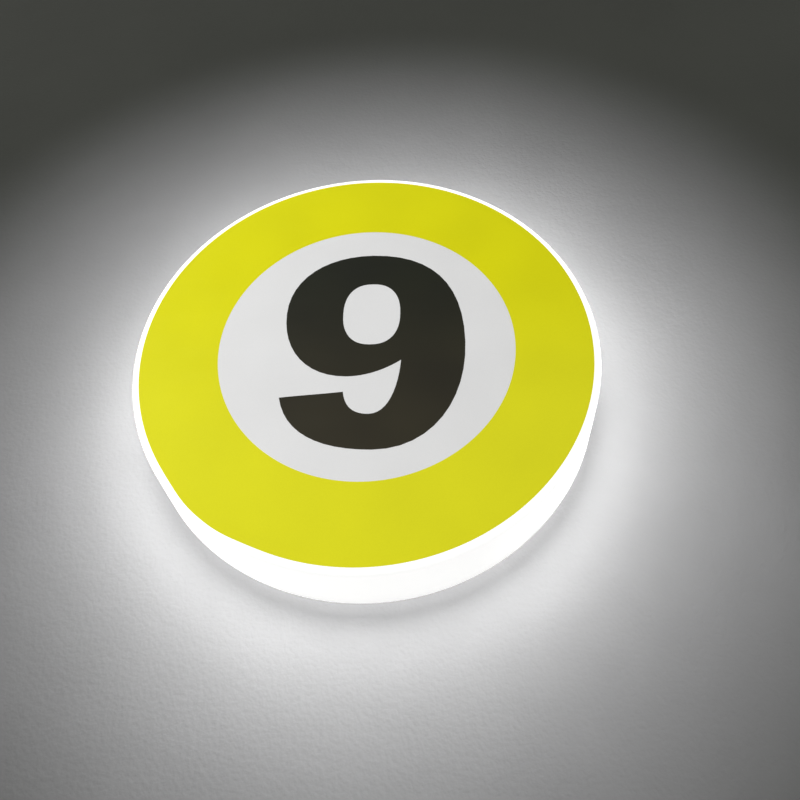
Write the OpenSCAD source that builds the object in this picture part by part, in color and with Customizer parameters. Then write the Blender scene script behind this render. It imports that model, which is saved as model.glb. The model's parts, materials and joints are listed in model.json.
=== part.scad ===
// Round lighted wall sign with a number disc.
// An opal acrylic cover carries the print, and magnets hold it on a sheet-steel
// tray that stands off the wall. The tray carries a chain of LED modules inside,
// and the LED driver and the junction box in the gap behind it.
// Millimetres. +Z is up, the wall is the plane Y = 0, and the face looks along -Y.

/* [Cover] */
// Outside diameter of the cover
sign_d = 400; // [380:2:480]
// Depth of the cover, from its back edge to its front face
cover_depth = 60; // [54:1:90]
// Thickness of the face panel
face_t = 3; // [2:0.5:5]
// Thickness of the side wall
return_t = 3; // [2:0.5:5]
// Radius of the cover's front edge, which may run from the face into the side wall
front_round = 3.6; // [0.5:0.1:4.5]
// Chamfer on the cover's back edge
edge_ease = 0.8; // [0.2:0.1:1.5]
// Leg of the triangular bead in the corner behind the face
bead_leg = 5; // [3:0.5:8]

/* [Print] */
// Bare margin between the print and the cover's edge
face_margin = 6; // [3:0.5:12]
// Width of the coloured ring
ring_w = 66; // [50:1:80]
// Room between the numeral and the edge of the number disc, above and below it
numeral_margin = 28.5; // [22:0.5:45]
// Shift of the numeral to the right of the disc's middle
numeral_right = 7.5; // [0:0.5:10]
// Shift of the numeral below the disc's middle
numeral_down = 1.5; // [0:0.5:5]
// Thickness of one layer of film
film_t = 0.2; // [0.1:0.05:0.4]

/* [Tray] */
// Gap between the tray and the wall
wall_gap = 25; // [23:1:45]
// Thickness of the tray's sheet
tray_t = 1.2; // [0.8:0.1:2]
// Height of the tray's rim
rim_h = 14; // [12:0.5:20]
// Outside bend radius between the tray's floor and its rim
bend_r = 3; // [2.2:0.2:3.6]
// Room between the rim and the side wall
rim_clear = 3; // [2:0.5:5]
// Width of the foam strip round the rim
gasket_w = 8; // [5:0.5:8.5]
// Room left between the foam strip and the side wall
gasket_clear = 0.3; // [0.1:0.1:0.6]

/* [Catches] */
// Number of magnet catches
catch_count = 6; // [3:1:8]
// Width of a catch bracket
bracket_w = 22; // [18:1:30]
// Thickness of the bracket's strip
bracket_t = 1.5; // [1:0.1:2]
// Length of the bracket's foot
foot_l = 12; // [10:0.5:13]
// Diameter of a magnet
magnet_d = 10; // [6:0.5:11]
// Thickness of a magnet
magnet_t = 3; // [2:0.5:6]
// Length of a seat block along the cover's depth
block_l = 20; // [12:1:26]
// Diameter of a rivet's shank
rivet_d = 3; // [2.4:0.1:4]

/* [Wall spacers] */
// Number of wall spacers
spacer_count = 4; // [3:1:4]
// Diameter of the circle that the spacers stand on
spacer_pcd = 240; // [232:1:248]
// Outside diameter of a spacer
spacer_d = 18; // [15:1:22]
// Bore for the wall screw
spacer_bore = 5.5; // [4.5:0.1:6.5]
// Diameter of the neck that is swaged into the tray
neck_d = 10; // [8.5:0.1:11]
// Thickness of the rubber pad at the wall
pad_t = 2; // [1:0.5:4]

/* [LED modules] */
// Length of a module, wire tabs included
module_l = 66; // [60:1:70]
// Width of a module
module_w = 15; // [12:0.5:18]
// Height of a module's housing
module_h = 6.5; // [5:0.5:9]
// Diameter of a lens
lens_d = 10; // [8:0.5:11]
// Height of a lens's dome
dome_h = 2.5; // [1.5:0.1:4]
// Spacing of the lenses along a module
lens_pitch = 18; // [14:0.5:19]
// Distance from the side wall's inner face to the middle of the outer ring of modules
led_edge_gap = 47; // [45:1:52]
// Radius of the inner ring of modules
inner_ring_r = 78; // [70:1:84]
// Least run of wire between two modules of the outer ring
link_gap = 18; // [12:1:24]
// Diameter of a wire
wire_d = 2; // [1.4:0.1:2.2]
// Spacing of the two wires of a pair
wire_pitch = 2.5; // [2.4:0.1:3.5]

/* [Driver] */
// Length of the driver's case
driver_l = 150; // [132:2:170]
// Width of the driver's case
driver_w = 40; // [34:1:46]
// Height of the driver's case
driver_h = 17; // [15:0.5:19]
// Wall of the driver's case
driver_wall = 1.5; // [1:0.1:2]
// Diameter of the driver's two leads
lead_d = 5.5; // [4.5:0.1:6]
// Bend radius of the mains lead between the driver and the junction box
lead_bend_r = 36; // [32:1:42]

/* [Junction box] */
// Length of the junction box
box_l = 80; // [76:1:96]
// Width of the junction box
box_w = 44; // [40:1:50]
// Height of the junction box, lid left out
box_h = 18; // [17:0.5:20]
// Wall of the junction box
box_wall = 2; // [1.5:0.1:2.5]
// Bore of the gland's seal, for the supply cable
inlet_d = 6.5; // [5:0.1:7]

/* [Hidden] */
$fn = 96;

// Distances from the wall
z_back = wall_gap;
z_floor = wall_gap + tray_t;
z_rim = wall_gap + rim_h;
z_front = wall_gap + cover_depth;
z_panel = z_front - face_t;

// Rounding of the front edge, and the least flat margin that it leaves beside the print
edge_land = 0.2;
front_r = min(front_round, face_margin - edge_land);

// Radii of the cover, the tray and the print
r_out = sign_d / 2;
r_in = r_out - return_t;
r_rim = r_in - rim_clear;
print_r = r_out - face_margin;
disc_r = print_r - ring_w;
numeral_h = 2 * (disc_r - numeral_margin);

// Magnet catches
part_clear = 0.4;
tab_lip = 2;
r_tab_out = r_rim - tray_t - part_clear;
r_tab_in = r_tab_out - magnet_d - 2 * tab_lip;
magnet_r = (r_tab_out + r_tab_in) / 2;
catch_step = 360 / catch_count;
catch_start = 30;
hole_clear = 0.2;
rivet_r = r_tab_in - foot_l / 2;
rivet_edge = 5;
rivet_pitch = bracket_w - 2 * rivet_edge;
rivet_head_h = 1.2;
rivet_tail_h = 0.8;

// Wall spacers
spacer_r = spacer_pcd / 2;
spacer_start = 45;
spacer_step = 360 / spacer_count;
lip_t = 1.2;
lip_w = 1.5;
lip_d = neck_d + 2 * lip_w;
neck_clear = 0.05;

// LED modules
pad_h = 1;
pad_edge = 1;
module_tab_l = 6;
module_tab_w = 9;
module_tab_h = 4.5;
well_h = 0.8;
chip_l = 3.5;
chip_w = 2.8;
chip_h = 0.6;
lens_base_h = 1.2;
half_l = module_l / 2;
outer_ring_r = r_in - led_edge_gap;
outer_step_least = 2 * atan((half_l + link_gap / 2) / outer_ring_r);
outer_places = floor(360 / outer_step_least);
outer_step = 360 / outer_places;
outer_count = outer_places - 1;
inner_step = 60;
inner_count = 5;
inner_start = -30;
chain_start = 4;
z_wire = z_floor + pad_h + module_tab_h / 2;
lead_stub = 0.5;
z_lead_end = z_floor + lead_stub;
feed_run = 28;

// A module's pose is its centre and the heading of the chain through it
function outer_pose(i) = let (a = chain_start + i * outer_step)
    [outer_ring_r * cos(a), outer_ring_r * sin(a), a + 90];
function inner_pose(i) = let (a = inner_start - i * inner_step)
    [inner_ring_r * cos(a), inner_ring_r * sin(a), a - 90];
centre_pose = [0, 0, 180];
module_poses = concat(
    [for (i = [0 : outer_count - 1]) outer_pose(i)],
    [for (i = [0 : inner_count - 1]) inner_pose(i)],
    [centre_pose]
);
function heading(pose) = [cos(pose[2]), sin(pose[2])];
function along(pose, distance) = [pose[0], pose[1]] + distance * heading(pose);
feed_point = along(outer_pose(0), -half_l - feed_run);

// The pair of wires from the outer ring to the inner ring
jump_start = along(outer_pose(outer_count - 1), half_l);
jump_finish = along(inner_pose(0), -half_l);
jump_reach = 0.75 * norm(jump_finish - jump_start);
jump_curve = [for (p = [
    jump_start,
    jump_start + jump_reach * heading(outer_pose(outer_count - 1)),
    jump_finish - jump_reach * heading(inner_pose(0)),
    jump_finish
]) [p[0], p[1], z_wire]];

// Clips that hold the long runs of wire to the tray
clip_shares = [0.3, 0.65];
clip_l = 8;
clip_w = 11;
clip_top = 1.5;
clip_clear = 0.3;

// Grommets
grommet_lip = 2;
grommet_groove = 1.5;
grommet_lip_t = 1.6;
grommet_d = lead_d + 2 * grommet_groove;

// Driver, in line with the feed through the tray
driver_y = feed_point[1];
driver_foot_t = 1.5;
driver_ear = 18;
driver_ear_w = 24;
driver_cap_t = 3;
driver_plug_l = 2;
boss_l = 5;
boss_wall = 1.75;
boss_d = lead_d + 2 * boss_wall;
z_driver = z_back - driver_foot_t;
z_lead = z_driver - driver_h / 2;
driver_screw_in = 5;
driver_screw_x = driver_l / 2 + driver_ear - driver_screw_in;
driver_screw_shift = 7;
lead_start_x = driver_l / 2 + driver_cap_t + boss_l;
z_bend = z_back - grommet_lip_t;
feed_bend_r = z_bend - z_lead;
groove_count = 7;
groove_pitch = driver_w / (groove_count + 1);
groove_w = 1.2;
groove_h = 0.5;
board_t = 1.6;
board_clear = 0.2;
board_lift = 3;
z_board = z_driver - driver_wall - board_lift;
z_part = z_board - board_t;
part_h = driver_h - 2 * driver_wall - board_lift - board_t - 1;
core_l = 22;
core_w = 20;
capacitor_d = 8;
capacitor_spots = [[-48, 0], [-36, 0], [28, -6], [40, -6]];
transistor_spot = [27, 8];
transistor_l = 10;
transistor_w = 4;
choke_spot = [50, 5];
choke_d = 12;
choke_h = 5;

// Screws of 3 mm thread
screw_d = 3;
screw_hole_d = screw_d + hole_clear * 2;
screw_head_d = 5.6;
screw_head_h = 2;
nut_d = 6.2;
nut_h = 2.4;
thread_over = 1;
z_screw_tip = z_floor + nut_h + thread_over;

// Junction box
box_y = driver_y + 2 * lead_bend_r;
z_box = z_back - box_h;
lid_t = 2;
box_screw_in = 13;
box_screw_x = box_l / 2 - box_screw_in;
lid_boss_d = 7;
lid_screw_x = box_l / 2 - box_wall - lid_boss_d / 2;
lid_screw_y = box_w / 2 - box_wall - lid_boss_d / 2;
pilot_d = 2.5;
thread_clear = 0.1;
lid_screw_d = pilot_d - thread_clear;
lid_screw_l = 10;
terminal_pitch = 9;
terminal_l = 22;
terminal_h = 13;
terminal_w = 3 * terminal_pitch;
z_terminal = z_back - box_wall;
terminal_hole_d = 3.4;
terminal_hole_h = 6;
terminal_screw_d = 3.8;
terminal_screw_h = 4;
sheath_in = 7;
core_d = 2.4;
core_pitch = 2.6;

// Earth screw, beside the terminal of the same height
earth_in = 10;
earth_x = -box_l / 2 + earth_in;
earth_y = box_y + terminal_pitch;
earth_d = 4;
lug_t = 0.8;
lug_d = 8;
lug_barrel_l = 3;
lug_barrel_w = 3;
lug_barrel_h = 3.4;
lug_neck = 1;
earth_core_end = earth_x + lug_d / 2 + lug_neck + lug_barrel_l;

// Cable gland in the box's right-hand wall
gland_thread_d = 12;
gland_flange_l = 5;
gland_flange_d = 17;
gland_neck_d = 13;
gland_neck_l = 7;
gland_inside_l = 10;
locknut_d = 15;
locknut_l = 4;
seal_wall = 1.6;
seal_d = inlet_d + 2 * seal_wall;
seal_l = 10;
gland_nut_d = 18;
gland_nut_l = 13;
gland_nut_end = 1.5;
gland_x = box_l / 2;
gland_fit = 0.1;
gland_bore = inlet_d + 1;

// Turns the working frame, whose Z comes out of the wall, into the part's frame
module on_wall() {
    rotate([90, 0, 0]) children();
}

// Repeats its children on a circle
module around(count, radius, start) {
    for (i = [0 : count - 1])
        rotate([0, 0, start + i * 360 / count]) translate([radius, 0, 0]) children();
}

// Puts its children at each module, X along the chain and Z out of the tray
module at_modules() {
    for (pose = module_poses)
        translate([pose[0], pose[1], z_floor]) rotate([0, 0, pose[2]]) children();
}

// A plain ring on the sign's axis
module ring(r_big, r_small, z_low, z_high) {
    translate([0, 0, z_low]) difference() {
        cylinder(r = r_big, h = z_high - z_low);
        translate([0, 0, -1]) cylinder(r = r_small, h = z_high - z_low + 2);
    }
}

// Cubic curve through its end points, and its direction
function curve(p, t) = pow(1 - t, 3) * p[0] + 3 * pow(1 - t, 2) * t * p[1]
    + 3 * (1 - t) * t * t * p[2] + t * t * t * p[3];
function slope(p, t) = let (v = pow(1 - t, 2) * (p[1] - p[0])
    + 2 * (1 - t) * t * (p[2] - p[1]) + t * t * (p[3] - p[2])) v / norm(v);

// A round wire along a flat cubic curve. flat is the normal of the curve's plane, beside
// and up shift the wire within the curve's own cross-section
module swept_wire(p, d, flat, beside, up, rings, sides) {
    points = [for (i = [0 : rings]) let (
        t = i / rings,
        side = cross(flat, slope(p, t)),
        middle = curve(p, t) + beside * side + up * flat
    ) for (k = [0 : sides - 1]) middle
        + d / 2 * (cos(360 * k / sides) * side + sin(360 * k / sides) * flat)];
    walls = [for (i = [0 : rings - 1], k = [0 : sides - 1]) let (
        a = i * sides + k,
        b = i * sides + (k + 1) % sides
    ) each [[a, b + sides, b], [a, a + sides, b + sides]]];
    last = rings * sides;
    ends = [for (k = [1 : sides - 2]) each [[0, k, k + 1], [last, last + k + 1, last + k]]];
    polyhedron(points = points, faces = concat(walls, ends));
}

// Outline of the numeral, in hundredths of its height, about its middle
numeral_outline = [
    [[-2, 50], [25, 50], [39.5, 33], [39.5, 1]],
    [[39.5, 1], [39.5, -28], [25, -50], [1, -50]],
    [[1, -50], [-21, -50], [-35, -42], [-38.5, -26]],
    [[-38.5, -26], [-30, -25], [-21, -24.5], [-12, -23.5]],
    [[-12, -23.5], [-11, -31], [-7, -34], [-1, -34]],
    [[-1, -34], [7, -34], [11, -22], [12, -8]],
    [[12, -8], [5, -13], [-3, -16], [-11, -16]],
    [[-11, -16], [-28, -16], [-39.5, -3], [-39.5, 17]],
    [[-39.5, 17], [-39.5, 37], [-24, 50], [-2, 50]]
];
numeral_steps = 12;
counter_middle = [-1.5, 16.5];
counter_half = [12.7, 16.5];
counter_power = 0.84;
counter_steps = 48;
function rounded(c) = sign(c) * pow(abs(c), counter_power);

module numeral_shape() {
    unit = numeral_h / 100;
    difference() {
        polygon([for (p = numeral_outline, i = [0 : numeral_steps - 1])
            unit * curve(p, i / numeral_steps)]);
        polygon([for (i = [0 : counter_steps - 1]) let (a = 360 * i / counter_steps)
            unit * (counter_middle + [counter_half[0] * rounded(cos(a)),
                                      counter_half[1] * rounded(sin(a))])]);
    }
}

// Cover

// Half of the section through the cover's outside, with its front edge rounded
module cover_section() {
    translate([0, z_back]) square([r_out, cover_depth - front_r]);
    translate([0, z_back]) square([r_out - front_r, cover_depth]);
    translate([r_out - front_r, z_front - front_r]) intersection() {
        circle(front_r);
        square(front_r);
    }
}

module face_panel() {
    color("white") rotate_extrude() intersection() {
        cover_section();
        translate([0, z_panel]) square([r_out, face_t]);
    }
}

module return_wall() {
    color("white") rotate_extrude() intersection() {
        cover_section();
        polygon([
            [r_in, z_back], [r_out - edge_ease, z_back], [r_out, z_back + edge_ease],
            [r_out, z_panel], [r_in, z_panel]
        ]);
    }
}

module corner_bead() {
    color("whitesmoke") rotate_extrude() polygon([
        [r_in, z_panel], [r_in - bead_leg, z_panel], [r_in, z_panel - bead_leg]
    ]);
}

module base_film() {
    color("gainsboro") translate([0, 0, z_front]) cylinder(r = print_r, h = film_t);
}

module ring_film() {
    color([0.85, 0.84, 0.08]) ring(print_r, disc_r, z_front + film_t, z_front + 2 * film_t);
}

module numeral_film() {
    color([0.16, 0.16, 0.14]) translate([numeral_right, -numeral_down, z_front + film_t])
        linear_extrude(film_t) numeral_shape();
}

module seat_blocks() {
    turn = 2 * asin(bracket_w / 2 / r_in);
    color("whitesmoke") difference() {
        for (i = [0 : catch_count - 1])
            rotate([0, 0, catch_start + i * catch_step - turn / 2]) rotate_extrude(angle = turn)
                translate([r_tab_in, z_rim]) square([r_in - r_tab_in, block_l]);
        around(catch_count, magnet_r, catch_start) translate([0, 0, z_rim - 1])
            cylinder(d = magnet_d, h = magnet_t + 1);
    }
}

module cover_magnets() {
    color("silver") around(catch_count, magnet_r, catch_start) translate([0, 0, z_rim])
        cylinder(d = magnet_d, h = magnet_t);
}

// Tray and what fastens it

module tray_profile() {
    translate([0, z_back]) square([r_rim - bend_r, tray_t]);
    translate([r_rim - tray_t, z_back + bend_r]) square([tray_t, rim_h - bend_r]);
    translate([r_rim - bend_r, z_back + bend_r]) intersection() {
        difference() {
            circle(bend_r);
            circle(bend_r - tray_t);
        }
        translate([0, -bend_r]) square(bend_r);
    }
}

module at_driver_screws() {
    for (side = [-1, 1])
        translate([side * driver_screw_x, driver_y + side * driver_screw_shift, 0]) children();
}

module at_box_screws() {
    for (side = [-1, 1]) translate([side * box_screw_x, box_y, 0]) children();
}

module tray_hole(x, y, d) {
    translate([x, y, z_back - 1]) cylinder(d = d, h = tray_t + 2);
}

module back_tray() {
    color("whitesmoke") difference() {
        rotate_extrude() tray_profile();
        around(spacer_count, spacer_r, spacer_start) tray_hole(0, 0, neck_d + 2 * neck_clear);
        for (y = [-rivet_pitch / 2, rivet_pitch / 2])
            around(catch_count, rivet_r, catch_start) tray_hole(0, y, rivet_d + hole_clear);
        tray_hole(feed_point[0], feed_point[1], grommet_d);
        at_driver_screws() tray_hole(0, 0, screw_hole_d);
        at_box_screws() tray_hole(0, 0, screw_hole_d);
        tray_hole(earth_x, earth_y, earth_d + hole_clear);
    }
}

module edge_gasket() {
    foam_top = z_rim - 1;
    color("dimgray") ring(r_in - gasket_clear, r_rim, foam_top - gasket_w, foam_top);
}

module catch_brackets() {
    r_foot = r_tab_in - foot_l;
    r_riser = r_tab_in + bracket_t;
    color("lightgray") difference() {
        around(catch_count, 0, catch_start) translate([0, bracket_w / 2, 0]) rotate([90, 0, 0])
            linear_extrude(bracket_w) polygon([
                [r_foot, z_floor], [r_riser, z_floor], [r_riser, z_rim - bracket_t],
                [r_tab_out, z_rim - bracket_t], [r_tab_out, z_rim], [r_tab_in, z_rim],
                [r_tab_in, z_floor + bracket_t], [r_foot, z_floor + bracket_t]
            ]);
        for (y = [-rivet_pitch / 2, rivet_pitch / 2])
            around(catch_count, rivet_r, catch_start) translate([0, y, z_floor - 1])
                cylinder(d = rivet_d + hole_clear, h = bracket_t + 2);
    }
}

module rivet() {
    z_head = z_floor + bracket_t;
    translate([0, 0, z_back]) cylinder(d = rivet_d, h = z_head - z_back);
    translate([0, 0, z_head]) cylinder(d1 = 2 * rivet_d, d2 = 1.3 * rivet_d, h = rivet_head_h);
    translate([0, 0, z_back - rivet_tail_h]) cylinder(d = 1.6 * rivet_d, h = rivet_tail_h);
}

module bracket_rivets() {
    color("silver") for (y = [-rivet_pitch / 2, rivet_pitch / 2])
        around(catch_count, rivet_r, catch_start) translate([0, y, 0]) rivet();
}

module wall_spacers() {
    color("silver") around(spacer_count, spacer_r, spacer_start) difference() {
        union() {
            translate([0, 0, pad_t]) cylinder(d = spacer_d, h = z_back - pad_t);
            translate([0, 0, z_back]) cylinder(d = neck_d, h = tray_t);
            translate([0, 0, z_floor]) cylinder(d = lip_d, h = lip_t);
        }
        cylinder(d = spacer_bore, h = 2 * z_floor);
    }
}

module spacer_pads() {
    color("black") around(spacer_count, spacer_r, spacer_start)
        ring(spacer_d / 2, spacer_bore / 2, 0, pad_t);
}

// LED chain

module led_pads() {
    color("white") at_modules() translate([0, 0, pad_h / 2])
        cube([module_l - 2 * module_tab_l, module_w - 2 * pad_edge, pad_h], center = true);
}

module at_lenses() {
    for (i = [-1 : 1])
        translate([i * lens_pitch, 0, pad_h + module_h - well_h]) children();
}

module led_housings() {
    color("white") at_modules() difference() {
        union() {
            translate([0, 0, pad_h + module_h / 2])
                cube([module_l - 2 * module_tab_l, module_w, module_h], center = true);
            translate([0, 0, pad_h + module_tab_h / 2])
                cube([module_l, module_tab_w, module_tab_h], center = true);
        }
        at_lenses() cylinder(d = lens_d + hole_clear, h = module_h);
    }
}

module led_chips() {
    color("yellow") at_modules() at_lenses() translate([0, 0, chip_h / 2])
        cube([chip_l, chip_w, chip_h], center = true);
}

module led_lenses() {
    ball_r = (pow(lens_d / 2, 2) + pow(dome_h, 2)) / (2 * dome_h);
    color("aliceblue") at_modules() at_lenses() rotate_extrude() difference() {
        intersection() {
            translate([0, lens_base_h + dome_h - ball_r]) circle(ball_r);
            square([lens_d / 2, lens_base_h + dome_h]);
        }
        square([norm([chip_l, chip_w]) / 2 + hole_clear, chip_h + hole_clear]);
    }
}

// Wires between two neighbours on a ring, each a true arc that leaves and meets its module squarely.
// left is the shift to the left of the chain's heading
module ring_link(ring_r, step, first, count, turn, left) {
    half = step / 2;
    arc_r = ring_r - half_l / tan(half);
    for (i = [0 : count - 2])
        rotate([0, 0, first + turn * (i + 0.5) * step]) translate([half_l / sin(half), 0, z_wire])
            rotate([0, 0, -half]) rotate_extrude(angle = step)
                translate([arc_r - turn * left, 0]) circle(d = wire_d);
}

// From the last module of the outer ring to the first of the inner ring
module ring_jump(left) {
    swept_wire(jump_curve, wire_d, [0, 0, 1], left, 0, 20, 8);
}

// From the last module of the inner ring to the one in the middle
module centre_jump(left) {
    translate([half_l, inner_ring_r / 2, z_wire]) rotate([0, 0, -90]) rotate_extrude(angle = 180)
        translate([inner_ring_r / 2 + left, 0]) circle(d = wire_d);
}

// From the lead's end in the grommet, up and over to the first module
module feed_wire(left) {
    toward = heading(outer_pose(0));
    start = [feed_point[0], feed_point[1], z_lead_end];
    finish = concat(along(outer_pose(0), -half_l), [z_wire]);
    top = start + [0, 0, 2 * (z_wire - z_lead_end)];
    before = finish - 0.6 * feed_run * [toward[0], toward[1], 0];
    swept_wire([start, top, before, finish], wire_d, [-toward[1], toward[0], 0], 0, left, 12, 8);
}

module led_wires(left) {
    ring_link(outer_ring_r, outer_step, chain_start, outer_count, 1, left);
    ring_link(inner_ring_r, inner_step, inner_start, inner_count, -1, left);
    ring_jump(left);
    centre_jump(left);
    feed_wire(left);
}

module led_wires_red() {
    color("red") led_wires(wire_pitch / 2);
}

module led_wires_black() {
    color("black") led_wires(-wire_pitch / 2);
}

// A clip on the tray's floor whose channel, along X, holds a pair of wires
module wire_clip() {
    channel_w = wire_pitch + wire_d + 2 * clip_clear;
    channel_h = wire_d + 2 * clip_clear;
    height = z_wire - z_floor + channel_h / 2 + clip_top;
    difference() {
        translate([-clip_l / 2, -clip_w / 2, z_floor]) cube([clip_l, clip_w, height]);
        translate([0, 0, z_wire]) cube([clip_l + 2, channel_w, channel_h], center = true);
    }
}

module wire_clips() {
    color("white") {
        for (share = clip_shares) {
            spot = curve(jump_curve, share);
            way = slope(jump_curve, share);
            translate([spot[0], spot[1], 0]) rotate([0, 0, atan2(way[1], way[0])]) wire_clip();
        }
        translate([half_l + inner_ring_r / 2, inner_ring_r / 2, 0]) rotate([0, 0, 90]) wire_clip();
    }
}

// A rubber bush round a lead, in a wall of the given thickness along Z
module grommet(wall) {
    difference() {
        union() {
            cylinder(d = grommet_d, h = wall);
            for (z = [-grommet_lip_t, wall])
                translate([0, 0, z]) cylinder(d = grommet_d + 2 * grommet_lip, h = grommet_lip_t);
        }
        translate([0, 0, -grommet_lip_t - 1]) cylinder(d = lead_d, h = wall + 2 * grommet_lip_t + 2);
    }
}

module feed_grommet() {
    color("black") translate([feed_point[0], feed_point[1], z_back]) grommet(tray_t);
}

// A quarter turn of the lead that starts along X and ends along Z
module output_lead() {
    bend_x = feed_point[0] - feed_bend_r;
    run = bend_x - lead_start_x;
    color("gray") translate([bend_x, driver_y, z_bend]) {
        translate([-run, 0, -feed_bend_r]) rotate([0, 90, 0]) cylinder(d = lead_d, h = run);
        rotate([90, 0, 0]) rotate([0, 0, -90]) rotate_extrude(angle = 90)
            translate([feed_bend_r, 0]) circle(d = lead_d);
        translate([feed_bend_r, 0, 0]) cylinder(d = lead_d, h = z_lead_end - z_bend);
    }
}

// Driver

module driver_case() {
    inner_w = driver_w - 2 * driver_wall;
    inner_h = driver_h - 2 * driver_wall;
    color("lightsteelblue") translate([0, driver_y, 0]) difference() {
        union() {
            translate([0, 0, z_driver - driver_h / 2])
                cube([driver_l, driver_w, driver_h], center = true);
            translate([0, 0, z_driver + driver_foot_t / 2])
                cube([driver_l + 2 * driver_ear, driver_ear_w, driver_foot_t], center = true);
        }
        translate([0, 0, z_driver - driver_h / 2])
            cube([driver_l + 2, inner_w, inner_h], center = true);
        translate([0, -driver_y, z_driver - 1]) at_driver_screws()
            cylinder(d = screw_hole_d, h = driver_foot_t + 2);
        for (i = [0 : groove_count - 1])
            translate([0, (i + 0.5 - groove_count / 2) * groove_pitch, z_driver - driver_h])
                cube([driver_l + 2, groove_w, 2 * groove_h], center = true);
    }
}

module driver_end_caps() {
    plug_w = driver_w - 2 * driver_wall - 2 * board_clear;
    plug_h = driver_h - 2 * driver_wall - 2 * board_clear;
    color("dimgray") translate([0, driver_y, z_lead]) for (side = [-1, 1]) mirror([side < 0 ? 1 : 0, 0, 0])
        translate([driver_l / 2, 0, 0]) {
            translate([driver_cap_t / 2, 0, 0]) cube([driver_cap_t, driver_w, driver_h], center = true);
            translate([-driver_plug_l / 2, 0, 0]) cube([driver_plug_l, plug_w, plug_h], center = true);
            translate([driver_cap_t, 0, 0]) rotate([0, 90, 0]) cylinder(d = boss_d, h = boss_l);
        }
}

module driver_board() {
    board_l = driver_l - 2 * driver_plug_l - 2 * board_clear;
    board_w = driver_w - 2 * driver_wall - 2 * board_clear;
    color("darkgreen") translate([0, driver_y, z_board - board_t / 2])
        cube([board_l, board_w, board_t], center = true);
}

// Transformer, capacitors, transistor and choke, on the board's wall side
module driver_parts() {
    color("goldenrod") translate([0, driver_y, z_part - part_h]) {
        translate([0, 0, part_h / 2]) cube([core_l, core_w, part_h], center = true);
        for (spot = capacitor_spots)
            translate([spot[0], spot[1], 0]) cylinder(d = capacitor_d, h = part_h);
        translate([transistor_spot[0], transistor_spot[1], part_h / 2])
            cube([transistor_l, transistor_w, part_h], center = true);
        translate([choke_spot[0], choke_spot[1], part_h - choke_h]) cylinder(d = choke_d, h = choke_h);
    }
}

// A screw of 3 mm thread whose head bears on the plane z_head and whose shank runs along +Z
module screw(z_head, z_tip) {
    translate([0, 0, z_head - screw_head_h]) cylinder(d = screw_head_d, h = screw_head_h);
    translate([0, 0, z_head]) cylinder(d = screw_d, h = z_tip - z_head);
}

// A hexagon with two of its flats along X
module hexagon(d, h) {
    rotate([0, 0, 30]) cylinder(d = d, h = h, $fn = 6);
}

module hex_nut(d, bore, h) {
    difference() {
        hexagon(d, h);
        translate([0, 0, -1]) cylinder(d = bore, h = h + 2);
    }
}

module driver_screws() {
    color("silver") at_driver_screws() screw(z_driver, z_screw_tip);
}

module driver_nuts() {
    color("silver") at_driver_screws() translate([0, 0, z_floor])
        hex_nut(nut_d, screw_d + hole_clear, nut_h);
}

// Out of the driver, half a turn round, and back into the junction box
module mains_lead() {
    inside = box_l / 2 - box_wall - sheath_in;
    color("gray") translate([0, 0, z_lead]) {
        translate([-lead_start_x, driver_y + lead_bend_r, 0]) rotate([0, 0, 90])
            rotate_extrude(angle = 180) translate([lead_bend_r, 0]) circle(d = lead_d);
        translate([-lead_start_x, box_y, 0]) rotate([0, 90, 0])
            cylinder(d = lead_d, h = lead_start_x - inside);
    }
}

// Junction box

module box_grommet() {
    color("black") translate([-box_l / 2, box_y, z_lead]) rotate([0, 90, 0]) grommet(box_wall);
}

module lid_corners() {
    for (side = [-1, 1])
        translate([side * lid_screw_x, box_y + side * lid_screw_y, 0]) children();
}

module junction_box() {
    color("white") difference() {
        union() {
            translate([0, box_y, 0]) difference() {
                translate([-box_l / 2, -box_w / 2, z_box]) cube([box_l, box_w, box_h]);
                translate([-box_l / 2 + box_wall, -box_w / 2 + box_wall, z_box - 1])
                    cube([box_l - 2 * box_wall, box_w - 2 * box_wall, box_h - box_wall + 1]);
            }
            lid_corners() translate([-lid_boss_d / 2, -lid_boss_d / 2, z_box])
                cube([lid_boss_d, lid_boss_d, box_h]);
        }
        lid_corners() translate([0, 0, z_box - 1]) cylinder(d = pilot_d, h = lid_screw_l + 1);
        translate([0, 0, z_box]) at_box_screws() cylinder(d = screw_hole_d, h = box_h + 1);
        translate([earth_x, earth_y, z_box]) cylinder(d = earth_d + hole_clear, h = box_h + 1);
        translate([-box_l / 2 - 1, box_y, z_lead]) rotate([0, 90, 0])
            cylinder(d = grommet_d, h = box_wall + 2);
        translate([gland_x - box_wall - 1, box_y, z_lead]) rotate([0, 90, 0])
            cylinder(d = gland_thread_d + 2 * gland_fit, h = box_wall + 2);
    }
}

module junction_lid() {
    color("white") difference() {
        translate([-box_l / 2, box_y - box_w / 2, z_box - lid_t]) cube([box_l, box_w, lid_t]);
        lid_corners() translate([0, 0, z_box - lid_t - 1]) cylinder(d = screw_hole_d, h = lid_t + 2);
    }
}

module lid_screws() {
    color("silver") lid_corners() {
        translate([0, 0, z_box - lid_t - screw_head_h]) cylinder(d = screw_head_d, h = screw_head_h);
        translate([0, 0, z_box - lid_t]) cylinder(d = lid_screw_d, h = lid_screw_l);
    }
}

module box_screws() {
    color("silver") at_box_screws() screw(z_terminal, z_screw_tip);
}

module box_nuts() {
    color("silver") at_box_screws() translate([0, 0, z_floor])
        hex_nut(nut_d, screw_d + hole_clear, nut_h);
}

module at_terminals() {
    for (i = [-1 : 1]) translate([0, box_y + i * terminal_pitch, z_terminal - terminal_h]) children();
}

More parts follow.
